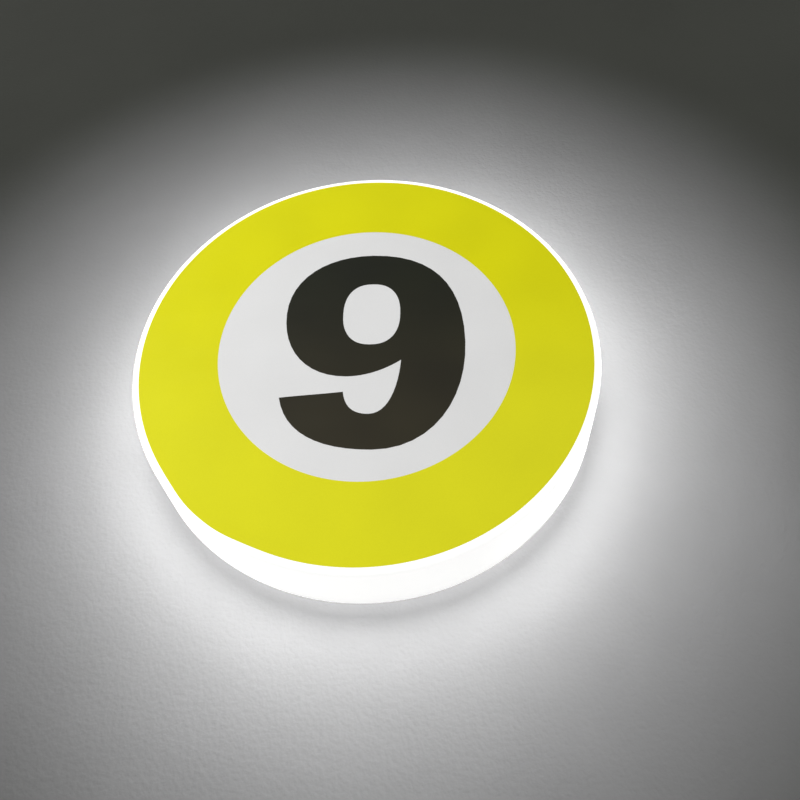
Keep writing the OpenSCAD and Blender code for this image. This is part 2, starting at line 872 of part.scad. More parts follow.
module terminal_block() {
    color("ivory") difference() {
        translate([-terminal_l / 2, box_y - terminal_w / 2, z_terminal - terminal_h])
            cube([terminal_l, terminal_w, terminal_h]);
        at_terminals() {
            for (x = [-terminal_l / 4, terminal_l / 4]) translate([x, 0, -1])
                cylinder(d = terminal_screw_d + hole_clear, h = terminal_screw_h + 2);
            translate([terminal_l / 2 - terminal_hole_h, 0, z_lead - z_terminal + terminal_h])
                rotate([0, 90, 0]) cylinder(d = terminal_hole_d, h = terminal_hole_h + 1);
        }
    }
}

module terminal_screws() {
    color("goldenrod") at_terminals() for (x = [-terminal_l / 4, terminal_l / 4])
        translate([x, 0, 1]) cylinder(d = terminal_screw_d, h = terminal_screw_h);
}

// A core that fans out from the lead's end to its terminal
module core(from_y, to_y) {
    start = [-box_l / 2 + box_wall + sheath_in, box_y + from_y, z_lead];
    finish = [-terminal_l / 2, box_y + to_y, z_lead];
    pull = [0.5 * (finish[0] - start[0]), 0, 0];
    swept_wire([start, start + pull, finish - pull, finish], core_d, [0, 0, 1], 0, 0, 12, 8);
}

module live_core() {
    color("saddlebrown") core(core_pitch / 2, 0);
}

module neutral_core() {
    color("royalblue") core(-core_pitch / 2, -terminal_pitch);
}

module earth_core() {
    start = [-terminal_l / 2, earth_y, z_lead];
    finish = [earth_core_end, earth_y, z_terminal - lug_barrel_h / 2];
    pull = [0.6 * (finish[0] - start[0]), 0, 0];
    color("yellowgreen") swept_wire([start, start + pull, finish - pull, finish],
                                    core_d, [0, 1, 0], 0, 0, 12, 8);
}

module earth_lug() {
    color("silver") difference() {
        union() {
            translate([earth_x, earth_y, z_terminal - lug_t]) cylinder(d = lug_d, h = lug_t);
            translate([earth_x, earth_y - lug_barrel_w / 2, z_terminal - lug_t])
                cube([earth_core_end - earth_x, lug_barrel_w, lug_t]);
            translate([earth_core_end, earth_y, z_terminal])
                translate([-lug_barrel_l, -lug_barrel_w / 2, -lug_barrel_h])
                    cube([lug_barrel_l, lug_barrel_w, lug_barrel_h]);
        }
        translate([earth_x, earth_y, z_terminal - 2 * lug_t])
            cylinder(d = earth_d + hole_clear, h = 3 * lug_t);
    }
}

module earth_screw() {
    head_h = 2.6;
    tip = z_terminal - lug_t - nut_h - thread_over;
    color("goldenrod") translate([earth_x, earth_y, 0]) {
        translate([0, 0, z_floor]) cylinder(d = 2 * earth_d, h = head_h);
        translate([0, 0, tip]) cylinder(d = earth_d, h = z_floor - tip);
    }
}

module earth_nut() {
    color("goldenrod") translate([earth_x, earth_y, z_terminal - lug_t - nut_h])
        hex_nut(1.9 * earth_d, earth_d + hole_clear, nut_h);
}

// Cable gland, on an axis along X

module on_gland() {
    translate([gland_x, box_y, z_lead]) rotate([0, 90, 0]) children();
}

module gland_body() {
    color("gray") on_gland() difference() {
        union() {
            translate([0, 0, -gland_inside_l])
                cylinder(d = gland_thread_d, h = gland_inside_l + gland_flange_l);
            hexagon(gland_flange_d, gland_flange_l);
            cylinder(d = gland_neck_d, h = gland_flange_l + gland_neck_l);
        }
        translate([0, 0, -gland_inside_l - 1])
            cylinder(d = gland_bore, h = gland_inside_l + gland_flange_l + gland_neck_l + 2);
        translate([0, 0, gland_flange_l]) cylinder(d = seal_d, h = gland_neck_l + 1);
    }
}

module gland_locknut() {
    color("gray") on_gland() translate([0, 0, -box_wall - locknut_l])
        hex_nut(locknut_d, gland_thread_d + 2 * gland_fit, locknut_l);
}

module gland_seal() {
    color("black") on_gland() ring(seal_d / 2, inlet_d / 2, gland_flange_l, gland_flange_l + seal_l);
}

module gland_nut() {
    color("gray") on_gland() translate([0, 0, gland_flange_l]) difference() {
        hexagon(gland_nut_d, gland_nut_l);
        translate([0, 0, -1]) cylinder(d = gland_neck_d + 2 * gland_fit, h = gland_neck_l + 1);
        translate([0, 0, -1]) cylinder(d = seal_d + 2 * gland_fit, h = gland_nut_l - gland_nut_end + 1);
        translate([0, 0, -1]) cylinder(d = gland_bore, h = gland_nut_l + 2);
    }
}

on_wall() face_panel();
on_wall() return_wall();
on_wall() corner_bead();
on_wall() base_film();
on_wall() ring_film();
on_wall() numeral_film();
on_wall() seat_blocks();
on_wall() cover_magnets();
on_wall() back_tray();
on_wall() edge_gasket();
on_wall() catch_brackets();
on_wall() bracket_rivets();
on_wall() wall_spacers();
on_wall() spacer_pads();
on_wall() led_pads();
on_wall() led_housings();
on_wall() led_chips();
on_wall() led_lenses();
on_wall() led_wires_red();
on_wall() led_wires_black();
on_wall() wire_clips();
on_wall() feed_grommet();
on_wall() output_lead();
on_wall() driver_case();
on_wall() driver_end_caps();
on_wall() driver_board();
on_wall() driver_parts();
on_wall() driver_screws();
on_wall() driver_nuts();
on_wall() mains_lead();
on_wall() box_grommet();
on_wall() junction_box();
on_wall() junction_lid();
on_wall() lid_screws();
on_wall() box_screws();
on_wall() box_nuts();
on_wall() terminal_block();
on_wall() terminal_screws();
on_wall() live_core();
on_wall() neutral_core();
on_wall() earth_core();
on_wall() earth_lug();
on_wall() earth_screw();
on_wall() earth_nut();
on_wall() gland_body();
on_wall() gland_locknut();
on_wall() gland_seal();
on_wall() gland_nut();
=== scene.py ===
"""Looks of the round lighted wall sign: finishes, fine detail, stage, light and camera.

Metres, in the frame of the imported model: +Z is up, the wall is the plane Y = 0 and the face
looks along -Y.
"""
import json
import math

import bmesh
import bpy
from mathutils import Matrix, Vector

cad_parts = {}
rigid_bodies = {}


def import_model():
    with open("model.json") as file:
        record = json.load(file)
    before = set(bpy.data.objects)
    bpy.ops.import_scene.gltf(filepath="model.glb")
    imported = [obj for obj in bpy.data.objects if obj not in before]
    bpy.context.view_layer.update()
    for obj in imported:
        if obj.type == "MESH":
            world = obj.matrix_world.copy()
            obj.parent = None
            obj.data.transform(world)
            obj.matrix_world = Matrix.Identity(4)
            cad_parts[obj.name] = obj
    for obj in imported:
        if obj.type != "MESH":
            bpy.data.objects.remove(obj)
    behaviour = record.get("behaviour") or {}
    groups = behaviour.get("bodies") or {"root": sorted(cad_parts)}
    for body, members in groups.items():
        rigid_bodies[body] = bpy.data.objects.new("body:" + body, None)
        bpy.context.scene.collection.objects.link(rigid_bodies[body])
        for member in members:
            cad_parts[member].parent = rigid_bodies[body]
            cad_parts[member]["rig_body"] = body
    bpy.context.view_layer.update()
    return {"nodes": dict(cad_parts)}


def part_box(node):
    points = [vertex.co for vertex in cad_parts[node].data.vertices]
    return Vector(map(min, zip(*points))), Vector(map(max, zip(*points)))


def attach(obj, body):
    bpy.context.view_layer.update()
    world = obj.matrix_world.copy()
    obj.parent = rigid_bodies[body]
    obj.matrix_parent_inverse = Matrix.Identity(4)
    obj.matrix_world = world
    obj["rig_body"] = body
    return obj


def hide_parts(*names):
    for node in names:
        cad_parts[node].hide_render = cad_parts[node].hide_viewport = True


for leftover in list(bpy.data.objects):
    bpy.data.objects.remove(leftover)
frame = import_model()
NODES = frame["nodes"]
SCENE = bpy.context.scene

MM = 0.001
# Turns a shape whose Z comes out of the wall into the row frame
OUT = Matrix.Rotation(math.radians(90), 4, "X")


# Camera

CAMERA_PLACE = Vector((0.06905, -0.6938, -0.41507))
CAMERA_AIM = Vector((0.02855, -0.0850, 0.08413))
CAMERA_ROLL = 1.34
PICTURE = 800
FOCUS_PIXELS = 855.3
CENTRE_ROW = 267
SENSOR = 36.0
CLIP_NEAR = 0.01


def make_camera():
    data = bpy.data.cameras.new("camera")
    data.sensor_width = SENSOR
    data.lens = SENSOR * FOCUS_PIXELS / PICTURE
    data.shift_y = (CENTRE_ROW - PICTURE / 2) / PICTURE
    data.clip_start = CLIP_NEAR
    camera = bpy.data.objects.new("camera", data)
    SCENE.collection.objects.link(camera)
    toward = (CAMERA_AIM - CAMERA_PLACE).to_track_quat("-Z", "Y").to_matrix().to_4x4()
    roll = Matrix.Rotation(math.radians(CAMERA_ROLL), 4, "Z")
    camera.matrix_world = Matrix.Translation(CAMERA_PLACE) @ toward @ roll
    SCENE.camera = camera


# Node trees

class Paint:
    """One material and the nodes that feed its shader."""

    def __init__(self, name):
        self.material = bpy.data.materials.new(name)
        self.material.use_nodes = True
        self.tree = self.material.node_tree
        self.shader = self.tree.nodes["Principled BSDF"]
        self.place = self.add("ShaderNodeTexCoord").outputs["Object"]

    def add(self, kind, **settings):
        node = self.tree.nodes.new(kind)
        for key, value in settings.items():
            setattr(node, key, value)
        return node

    def feed(self, socket, value):
        if isinstance(value, bpy.types.NodeSocket):
            self.tree.links.new(value, socket)
        elif hasattr(value, "__len__") and len(value) == 3 and socket.type == "RGBA":
            socket.default_value = (*value, 1.0)
        else:
            socket.default_value = value

    def set(self, **sockets):
        """Feeds the shader's sockets by name."""
        for key, value in sockets.items():
            name = {"ior": "IOR", "specular": "Specular IOR Level"}.get(key)
            self.feed(self.shader.inputs[name or key.replace("_", " ").title()], value)

    def math(self, operation, *values):
        node = self.add("ShaderNodeMath", operation=operation)
        for socket, value in zip(node.inputs, values):
            self.feed(socket, value)
        return node.outputs[0]

    def times(self, first, second):
        return self.math("MULTIPLY", first, second)

    def plus(self, first, second):
        return self.math("ADD", first, second)

    def spread(self, value, low, high, to_low=0.0, to_high=1.0):
        """The value's range from low to high, eased onto another range."""
        node = self.add("ShaderNodeMapRange", interpolation_type="SMOOTHSTEP")
        for name, setting in (("Value", value), ("From Min", low), ("From Max", high),
                              ("To Min", to_low), ("To Max", to_high)):
            self.feed(node.inputs[name], setting)
        return node.outputs["Result"]

    def stretched(self, stretch):
        node = self.add("ShaderNodeVectorMath", operation="MULTIPLY")
        self.feed(node.inputs[0], self.place)
        node.inputs[1].default_value = stretch
        return node.outputs[0]

    def noise(self, scale, detail=3.0, stretch=None):
        node = self.add("ShaderNodeTexNoise")
        self.feed(node.inputs["Vector"], self.stretched(stretch) if stretch else self.place)
        node.inputs["Scale"].default_value = scale
        node.inputs["Detail"].default_value = detail
        return node.outputs["Fac"]

    def cells(self, scale, feature="F1", stretch=None):
        node = self.add("ShaderNodeTexVoronoi", feature=feature)
        self.feed(node.inputs["Vector"], self.stretched(stretch) if stretch else self.place)
        node.inputs["Scale"].default_value = scale
        return node.outputs["Distance"]

    def mix(self, factor, first, second):
        """Two colours mixed. The node's colours are inputs 6 and 7 and output 2."""
        node = self.add("ShaderNodeMix", data_type="RGBA")
        for number, value in ((0, factor), (6, first), (7, second)):
            self.feed(node.inputs[number], value)
        return node.outputs[2]

    def shade(self, colour, value):
        """The colour times a value."""
        node = self.add("ShaderNodeVectorMath", operation="SCALE")
        self.feed(node.inputs[0], colour)
        self.feed(node.inputs["Scale"], value)
        return node.outputs[0]

    def axes(self, vector=None):
        node = self.add("ShaderNodeSeparateXYZ")
        self.feed(node.inputs[0], vector or self.place)
        return node.outputs

    def radius(self):
        """The distance from the sign's axis."""
        x, _, z = self.axes()
        return self.math("SQRT", self.plus(self.times(x, x), self.times(z, z)))

    def facing(self):
        """The surface's own direction, in the object's frame."""
        return self.axes(self.add("ShaderNodeTexCoord").outputs["Normal"])

    def bump(self, height, depth):
        node = self.add("ShaderNodeBump")
        node.inputs["Strength"].default_value = 1.0
        node.inputs["Distance"].default_value = depth
        self.feed(node.inputs["Height"], height)
        self.set(normal=node.outputs[0])


def tint(colour, share):
    return tuple(min(1.0, c * share) for c in colour)


# Finishes that glow

LED_RING = 0.150
LED_INNER = 0.078
LED_PLACES = 11
LED_INNER_PLACES = 6
LED_START = math.radians(4)
LED_SPOT = 0.030
LED_INNER_SPOT = 0.028
# How much brighter the left is than the middle, and the share of that which goes for the bottom
WARM_SIDE = 0.075
WARM_LOW = 0.25
DUST = (0.42, 0.40, 0.37)
ACRYLIC_IOR = 1.49
# Where the lit skin of the cover begins: by radius on the side, and by depth on the face
SIDE_SKIN = (0.1972, 0.1980)
FACE_SKIN = (-0.0828, -0.0822)
INSIDE_LIGHT = 0.25
# Where the side dims towards its back edge, and to what share
BACK_FADE = (-0.046, -0.025)
BACK_LIGHT = 0.95
OPAL_LIGHT = (1.0, 0.995, 0.985)
OPAL_STRENGTH = 0.57
# The heights between which a film's low light changes to its light
FACE_SPAN = (-0.1, 0.1)


def bell(paint, value, middle, width):
    """1 in the middle, falling to nothing a few widths away."""
    away = paint.times(paint.plus(value, -middle), 1 / width)
    return paint.math("EXPONENT", paint.times(paint.times(away, away), -1.0))


def led_field(paint, depth):
    """The share of light at each place of the face: brighter over each LED module, and to the left."""
    x, _, z = paint.axes()
    radius = paint.radius()
    angle = paint.math("ARCTAN2", z, x)
    outer = paint.math("COSINE", paint.times(paint.plus(angle, -LED_START), LED_PLACES))
    inner = paint.math("COSINE", paint.times(angle, LED_INNER_PLACES))
    spots = paint.plus(paint.times(outer, bell(paint, radius, LED_RING, LED_SPOT)),
                       paint.times(inner, bell(paint, radius, LED_INNER, LED_INNER_SPOT)))
    spots = paint.plus(spots, bell(paint, radius, 0.0, LED_SPOT))
    cloud = paint.spread(paint.noise(14.0, 2.0), 0.3, 0.7, -1.0, 1.0)
    slope = -WARM_SIDE / LED_RING
    tilt = paint.plus(paint.times(x, slope), paint.times(z, WARM_LOW * slope))
    uneven = paint.times(paint.plus(spots, cloud), depth)
    return paint.plus(paint.plus(uneven, tilt), 1.0)


def dusted(paint, colour, amount=0.3):
    """The colour under the dust that settles on what looks up."""
    up = paint.spread(paint.facing()[2], 0.35, 0.95)
    patches = paint.spread(paint.noise(160.0, 5.0), 0.35, 0.75)
    return paint.mix(paint.times(paint.times(up, patches), amount), colour, DUST)


def opal(name):
    """Opal acrylic, lit on its outer skin: the inside shows only when the cover is off the modules."""
    paint = Paint(name)
    field = led_field(paint, 0.015)
    _, y, _ = paint.axes()
    side = paint.spread(paint.radius(), *SIDE_SKIN)
    face = paint.spread(y, *FACE_SKIN, 1.0, 0.0)
    skin = paint.math("MAXIMUM", side, face)
    # A little dimmer at the back edge, where the tray's rim stands between it and the modules
    back = paint.spread(y, *BACK_FADE, 1.0, BACK_LIGHT)
    level = paint.times(paint.times(field, back), paint.spread(skin, 0.0, 1.0, INSIDE_LIGHT, 1.0))
    wipe = paint.spread(paint.noise(60.0, 6.0, (1.0, 0.15, 1.0)), 0.35, 0.7)
    paint.set(base_color=dusted(paint, (0.86, 0.86, 0.85), 0.35),
              roughness=paint.spread(wipe, 0.0, 1.0, 0.22, 0.34),
              emission_color=paint.shade(OPAL_LIGHT, level),
              emission_strength=OPAL_STRENGTH)
    paint.bump(paint.noise(420.0, 2.0), 0.00003)
    return paint.material


def film(name, base, light, rough, specular, depth, low_light=None):
    """Adhesive film on the lit face: fine grain, a few specks under it and faint wiping marks. Its colour, as
    well as its glow, carries painted light from the modules behind it.
    """
    paint = Paint(name)
    field = led_field(paint, depth)
    specks = paint.spread(paint.cells(160.0), 0.035, 0.06, 1.0, 0.0)
    sparse = paint.spread(paint.noise(45.0, 1.0), 0.60, 0.66)
    speck = paint.times(specks, sparse)
    grain = paint.spread(paint.noise(1400.0, 2.0), 0.3, 0.7, -0.012, 0.012)
    backlight_and_specks = paint.plus(paint.plus(field, grain), paint.times(speck, -0.05))
    wipe = paint.noise(26.0, 6.0, (1.0, 1.0, 5.0))
    if low_light:
        light = paint.mix(paint.spread(paint.axes()[2], *FACE_SPAN), low_light, light)
    # Painted light: the base colour is lighter over each module and to the left, as the glow is, with the
    # film's grain and specks
    paint.set(base_color=paint.shade(base, backlight_and_specks),
              roughness=paint.spread(wipe, 0.3, 0.7, rough - 0.03, rough + 0.04), specular=specular,
              emission_color=paint.shade(light, backlight_and_specks), emission_strength=1.0)
    paint.bump(paint.plus(paint.times(paint.noise(900.0, 2.0), 0.25), speck), 0.00006)
    return paint.material


def lens(name):
    """A lit lens: the chip's warm white in the middle of a clear dome, with painted shade greying the dome's
    sloping sides and faint rings from its mould.
    """
    paint = Paint(name)
    _, toward, _ = paint.facing()
    toward = paint.times(toward, -1.0)
    glow = paint.mix(paint.spread(toward, 0.86, 0.995), (0.10, 0.115, 0.13), (1.0, 0.93, 0.76))
    rings = paint.math("SINE", paint.times(toward, 90.0))
    # Painted shade: the dome paler where it faces straight out and greyer down its sloping sides
    clear = paint.mix(paint.spread(toward, 0.62, 0.90), (0.42, 0.44, 0.46), (0.62, 0.63, 0.63))
    paint.set(base_color=clear, roughness=paint.spread(rings, -1.0, 1.0, 0.05, 0.12), coat_weight=0.6,
              ior=ACRYLIC_IOR, emission_color=glow, emission_strength=1.0)
    paint.bump(paint.plus(paint.times(rings, 0.3), paint.noise(600.0)), 0.00002)
    return paint.material


def phosphor(name):
    """The yellow grain that covers an LED chip."""
    paint = Paint(name)
    grain = paint.noise(4000.0)
    paint.set(base_color=paint.mix(grain, (0.80, 0.62, 0.10), (0.95, 0.80, 0.25)), roughness=0.6,
              emission_color=paint.mix(grain, (1.0, 0.86, 0.55), (1.0, 0.92, 0.70)),
              emission_strength=1.5)
    return paint.material


# Finishes that don't

def plastic(name, colour, rough=0.45, mottle=0.05, grain=0.00004, grain_scale=1500.0, specular=0.5):
    """Moulded plastic or PVC: fine spark-eroded grain, clouded colour, worn shiny in patches."""
    paint = Paint(name)
    cloud = paint.spread(paint.noise(35.0, 4.0), 0.3, 0.7)
    body = paint.mix(cloud, tint(colour, 1 - mottle), tint(colour, 1 + mottle))
    rubbed = paint.noise(90.0, 5.0)
    paint.set(base_color=dusted(paint, body, 0.25), specular=specular,
              roughness=paint.spread(rubbed, 0.3, 0.7, rough - 0.08, rough + 0.08))
    paint.bump(paint.noise(grain_scale, 2.0), grain)
    return paint.material


def metal(name, colour, rough=0.32, stretch=(1.0, 1.0, 1.0), lines=700.0, depth=0.00001, mottle=0.08,
          patchy=0.5, stain=None):
    """Bare or plated metal, with its tool marks drawn out along the axes that stretch makes small."""
    paint = Paint(name)
    marks = paint.noise(lines, 3.0, stretch)
    cloud = paint.spread(paint.noise(120.0, 4.0), 0.35, 0.65)
    body = paint.mix(cloud, tint(colour, 1 - mottle), tint(colour, 1 + mottle))
    if stain:
        body = paint.mix(paint.spread(paint.noise(55.0, 3.0), 0.52, 0.72, 0.0, 0.5), body, stain)
    worn = paint.plus(paint.times(marks, 1 - patchy), paint.times(cloud, patchy))
    paint.set(base_color=dusted(paint, body, 0.2), metallic=1.0,
              roughness=paint.spread(worn, 0.3, 0.7, rough - 0.07, rough + 0.10))
    paint.bump(marks, depth)
    return paint.material


def powder_coat(name, colour):
    """Baked powder on sheet steel: orange peel, hairline scratches and a little grime in patches."""
    paint = Paint(name)
    peel = paint.noise(520.0, 2.0)
    scratch = paint.spread(paint.noise(70.0, 2.0, (9.0, 1.0, 0.6)), 0.68, 0.72)
    scuff = paint.times(scratch, paint.spread(paint.noise(11.0, 2.0), 0.5, 0.62))
    grime = paint.spread(paint.noise(24.0, 6.0), 0.48, 0.78, 0.0, 0.22)
    body = paint.mix(grime, colour, tint(colour, 0.80))
    body = paint.mix(paint.times(scuff, 0.35), body, (0.55, 0.55, 0.54))
    paint.set(base_color=dusted(paint, body, 0.25), roughness=paint.spread(peel, 0.3, 0.7, 0.38, 0.50))
    paint.bump(peel, 0.00005)
    return paint.material


def foam_rubber(name, colour):
    """Closed-cell foam: open cut cells of a few tenths of a millimetre, with painted shade in the hollow of
    each.
    """
    paint = Paint(name)
    cell = paint.cells(1700.0)
    broad = paint.noise(160.0, 3.0)
    # Painted shade: each cut cell darker towards its middle, where its hollow lies
    body = paint.mix(paint.spread(cell, 0.1, 0.6), tint(colour, 0.55), tint(colour, 1.3))
    paint.set(base_color=dusted(paint, body, 0.35), specular=0.2,
              roughness=paint.spread(broad, 0.3, 0.7, 0.82, 0.98))
    paint.bump(paint.plus(cell, paint.times(broad, 0.4)), 0.0002)
    return paint.material


def clear_acrylic(name):
    """Clear acrylic with the marks of the saw on its cut faces."""
    paint = Paint(name)
    saw = paint.noise(800.0, 2.0, (1.0, 0.05, 1.0))
    paint.set(base_color=paint.mix(paint.noise(60.0), (0.90, 0.94, 0.93), (0.97, 0.98, 0.98)),
              ior=ACRYLIC_IOR, transmission_weight=0.85, roughness=paint.spread(saw, 0.3, 0.7, 0.06, 0.22))
    paint.bump(saw, 0.00003)
    return paint.material


def circuit_board(name):
    """Green lacquer over copper tracks, with bare pads."""
    paint = Paint(name)
    track = paint.spread(paint.cells(260.0, "DISTANCE_TO_EDGE", (1.0, 1.0, 2.0)), 0.10, 0.14)
    pad = paint.spread(paint.cells(320.0), 0.10, 0.13, 1.0, 0.0)
    green = paint.mix(track, (0.010, 0.060, 0.022), (0.020, 0.115, 0.045))
    paint.set(base_color=paint.mix(pad, green, (0.72, 0.71, 0.66)), metallic=pad,
              roughness=paint.spread(pad, 0.0, 1.0, 0.25, 0.4))
    paint.bump(paint.plus(track, pad), 0.00005)
    return paint.material


# Where the wound coil in the middle of the board ends
COIL_END = (0.0125, 0.013)


def board_parts(name):
    """Black resin, blue sleeves and wound tape, one tone for each part by its place along the board."""
    paint = Paint(name)
    x, _, _ = paint.axes()
    block = paint.spread(paint.math("ABSOLUTE", x), *COIL_END)
    sleeve = paint.mix(paint.noise(300.0), (0.012, 0.016, 0.030), (0.020, 0.026, 0.046))
    tape = paint.mix(paint.noise(300.0, 2.0, (1.0, 6.0, 1.0)), (0.66, 0.46, 0.08), (0.80, 0.60, 0.14))
    paint.set(base_color=paint.mix(block, tape, sleeve),
              roughness=paint.spread(paint.noise(200.0), 0.3, 0.7, 0.3, 0.5))
    paint.bump(paint.noise(700.0), 0.00003)
    return paint.material


def striped_core(name, first, second, pitch):
    """A core with two colours that wind round it along X."""
    paint = Paint(name)
    x, _, z = paint.axes()
    wave = paint.math("SINE", paint.times(paint.plus(x, paint.times(z, 0.6)), 2 * math.pi / pitch))
    body = paint.mix(paint.spread(wave, 0.1, 0.3), first, second)
    paint.set(base_color=body, roughness=paint.spread(paint.noise(200.0), 0.3, 0.7, 0.34, 0.48))
    paint.bump(paint.noise(900.0), 0.00002)
    return paint.material


FINISH = {
    "opal_acrylic": opal("opal_acrylic"),
    "white_film": film("white_film", base=(0.54, 0.54, 0.535), light=(0.315, 0.315, 0.314),
                       rough=0.55, specular=0.3, depth=0.012),
    "yellow_film": film("yellow_film", base=(0.52, 0.50, 0.002), light=(0.292, 0.284, 0.0),
                        rough=0.55, specular=0.12, depth=0.015, low_light=(0.307, 0.302, 0.010)),
    "black_film": film("black_film", base=(0.004, 0.004, 0.001), light=(0.0013, 0.0026, 0.0002),
                       rough=0.5, specular=0.15, depth=0.10, low_light=(0.0185, 0.0150, 0.0080)),
    "clear_acrylic": clear_acrylic("clear_acrylic"),
    "lens_acrylic": lens("lens_acrylic"),
    "phosphor": phosphor("phosphor"),
    "magnet_plate": metal("magnet_plate", (0.70, 0.69, 0.66), rough=0.18),
    "white_steel": powder_coat("white_steel", (0.78, 0.78, 0.77)),
    "foam": foam_rubber("foam", (0.045, 0.045, 0.047)),
    "zinc_steel": metal("zinc_steel", (0.60, 0.62, 0.65), rough=0.34, lines=300.0,
                        stain=(0.62, 0.58, 0.45)),
    "rivet_alloy": metal("rivet_alloy", (0.72, 0.72, 0.73), rough=0.36),
    "spacer_alloy": metal("spacer_alloy", (0.71, 0.72, 0.73), rough=0.28, stretch=(0.08, 6.0, 0.08),
                          lines=900.0, depth=0.00004),
    "rubber": plastic("rubber", (0.022, 0.022, 0.023), rough=0.68, mottle=0.15, grain=0.00006,
                      grain_scale=1100.0, specular=0.3),
    "tape": foam_rubber("tape", (0.52, 0.52, 0.51)),
    "module_plastic": plastic("module_plastic", (0.80, 0.80, 0.78), rough=0.40, mottle=0.03, grain=0.00003),
    "wire_red": plastic("wire_red", (0.46, 0.016, 0.014), rough=0.38, mottle=0.08, grain=0.00002),
    "wire_black": plastic("wire_black", (0.016, 0.016, 0.017), rough=0.38, mottle=0.15, grain=0.00002),
    "lead_sheath": plastic("lead_sheath", (0.33, 0.33, 0.33), rough=0.46, mottle=0.06, grain=0.00005,
                           grain_scale=500.0),
    "driver_alloy": metal("driver_alloy", (0.56, 0.58, 0.60), rough=0.40, stretch=(0.03, 1.0, 1.0),
                          lines=1300.0, depth=0.000005, mottle=0.03, patchy=0.1),
    "grey_plastic": plastic("grey_plastic", (0.075, 0.078, 0.082), rough=0.52, mottle=0.08, grain=0.00008,
                            grain_scale=1200.0),
    "board": circuit_board("board"),
    "board_parts": board_parts("board_parts"),
    "box_plastic": plastic("box_plastic", (0.60, 0.61, 0.60), rough=0.46, mottle=0.03, grain=0.00008,
                           grain_scale=1000.0),
    "terminal_plastic": plastic("terminal_plastic", (0.70, 0.66, 0.54), rough=0.42),
    "brass": metal("brass", (0.76, 0.56, 0.24), rough=0.30, stain=(0.42, 0.27, 0.10)),
    "core_brown": plastic("core_brown", (0.13, 0.052, 0.020), rough=0.40),
    "core_blue": plastic("core_blue", (0.020, 0.075, 0.36), rough=0.40),
    "core_green": striped_core("core_green", (0.62, 0.56, 0.03), (0.035, 0.22, 0.045), pitch=0.012),
    "gland_plastic": plastic("gland_plastic", (0.24, 0.245, 0.25), rough=0.44, grain=0.00006,
                             grain_scale=1200.0),
}


# Stage

FLOOR_Z = -1.0
FLOOR_REACH = 7.0
FLOOR_TONE = 0.52
FLOOR_LIFT = 0.40
WALL_GAP = 0.0006
WALL_REACH = 3.2
# A pool of light painted on the wall: its colour round the sign and away from it, and the distances between
# which it changes
WALL_PAINTED_LIT = (0.240, 0.240, 0.242)
WALL_PAINTED_DARK = (0.041, 0.043, 0.036)
WALL_PAINTED_POOL = (0.29, 0.58)


def shown(tree):
    """1 for the rays that see the backdrop as it is: the camera's, and those off gloss or through glass."""
    path = tree.nodes.new("ShaderNodeLightPath")
    found = path.outputs["Is Camera Ray"]
    for name in ("Is Glossy Ray", "Is Transmission Ray"):
        either = tree.nodes.new("ShaderNodeMath")
        either.operation = "MAXIMUM"
        tree.links.new(found, either.inputs[0])
        tree.links.new(path.outputs[name], either.inputs[1])
        found = either.outputs[0]
    return found


def backdrop(name, corners, material):
    """One flat face of the stage."""
    mesh = bpy.data.meshes.new(name)
    mesh.from_pydata(corners, [], [range(len(corners))])
    mesh.materials.append(material)
    made = bpy.data.objects.new(name, mesh)
    SCENE.collection.objects.link(made)
    return made


def wall_paint():
    """Rolled paint, with a pool of light painted lighter round the sign and darker away from it. The wall
    shows from its front only, so that the sign's back can be seen too.
    """
    paint = Paint("wall_paint")
    cloud = paint.spread(paint.noise(5.0, 4.0), 0.3, 0.7, 0.95, 1.05)
    # Painted light: the wall lighter round the sign and darker away from it, as the sign's glow would leave it
    colour = paint.mix(paint.spread(paint.radius(), *WALL_PAINTED_POOL), WALL_PAINTED_LIT, WALL_PAINTED_DARK)
    paint.set(base_color=paint.shade(colour, cloud), roughness=0.85, specular=0.2)
    paint.bump(paint.plus(paint.noise(260.0, 3.0), paint.times(paint.noise(22.0), 2.0)), 0.0004)
    hidden = paint.add("ShaderNodeBsdfTransparent")
    choose = paint.add("ShaderNodeMixShader")
    paint.feed(choose.inputs[0], paint.add("ShaderNodeNewGeometry").outputs["Backfacing"])
    paint.feed(choose.inputs[1], paint.shader.outputs[0])
    paint.feed(choose.inputs[2], hidden.outputs[0])
    paint.feed(paint.tree.nodes["Material Output"].inputs["Surface"], choose.outputs[0])
    return paint.material


def floor_paint():
    """Pale matt paint, lifted a little where the camera sees it."""
    paint = Paint("floor_paint")
    cloud = paint.spread(paint.noise(2.0, 4.0), 0.3, 0.7, 0.98, 1.02)
    lift = paint.times(shown(paint.tree), FLOOR_LIFT)
    paint.set(base_color=paint.shade((FLOOR_TONE,) * 3, cloud), roughness=0.8, specular=0.1,
              emission_color=(1.0, 1.0, 1.0), emission_strength=lift)
    return paint.material


def make_stage():
    far = FLOOR_REACH
    corners = [(-far, -far), (far, -far), (far, far), (-far, far)]
    backdrop("floor", [(x, y, FLOOR_Z) for x, y in corners], floor_paint())
    far = WALL_REACH
    corners = [(-far, FLOOR_Z), (far, FLOOR_Z), (far, far), (-far, far)]
    wall = backdrop("wall", [(x, WALL_GAP, z) for x, z in corners], wall_paint())
    # Only the camera sees it, so that it neither shades nor tints the sign
    for ray in ("diffuse", "glossy", "transmission", "shadow"):
        setattr(wall, "visible_" + ray, False)


# Light

RING_LAMPS = 24
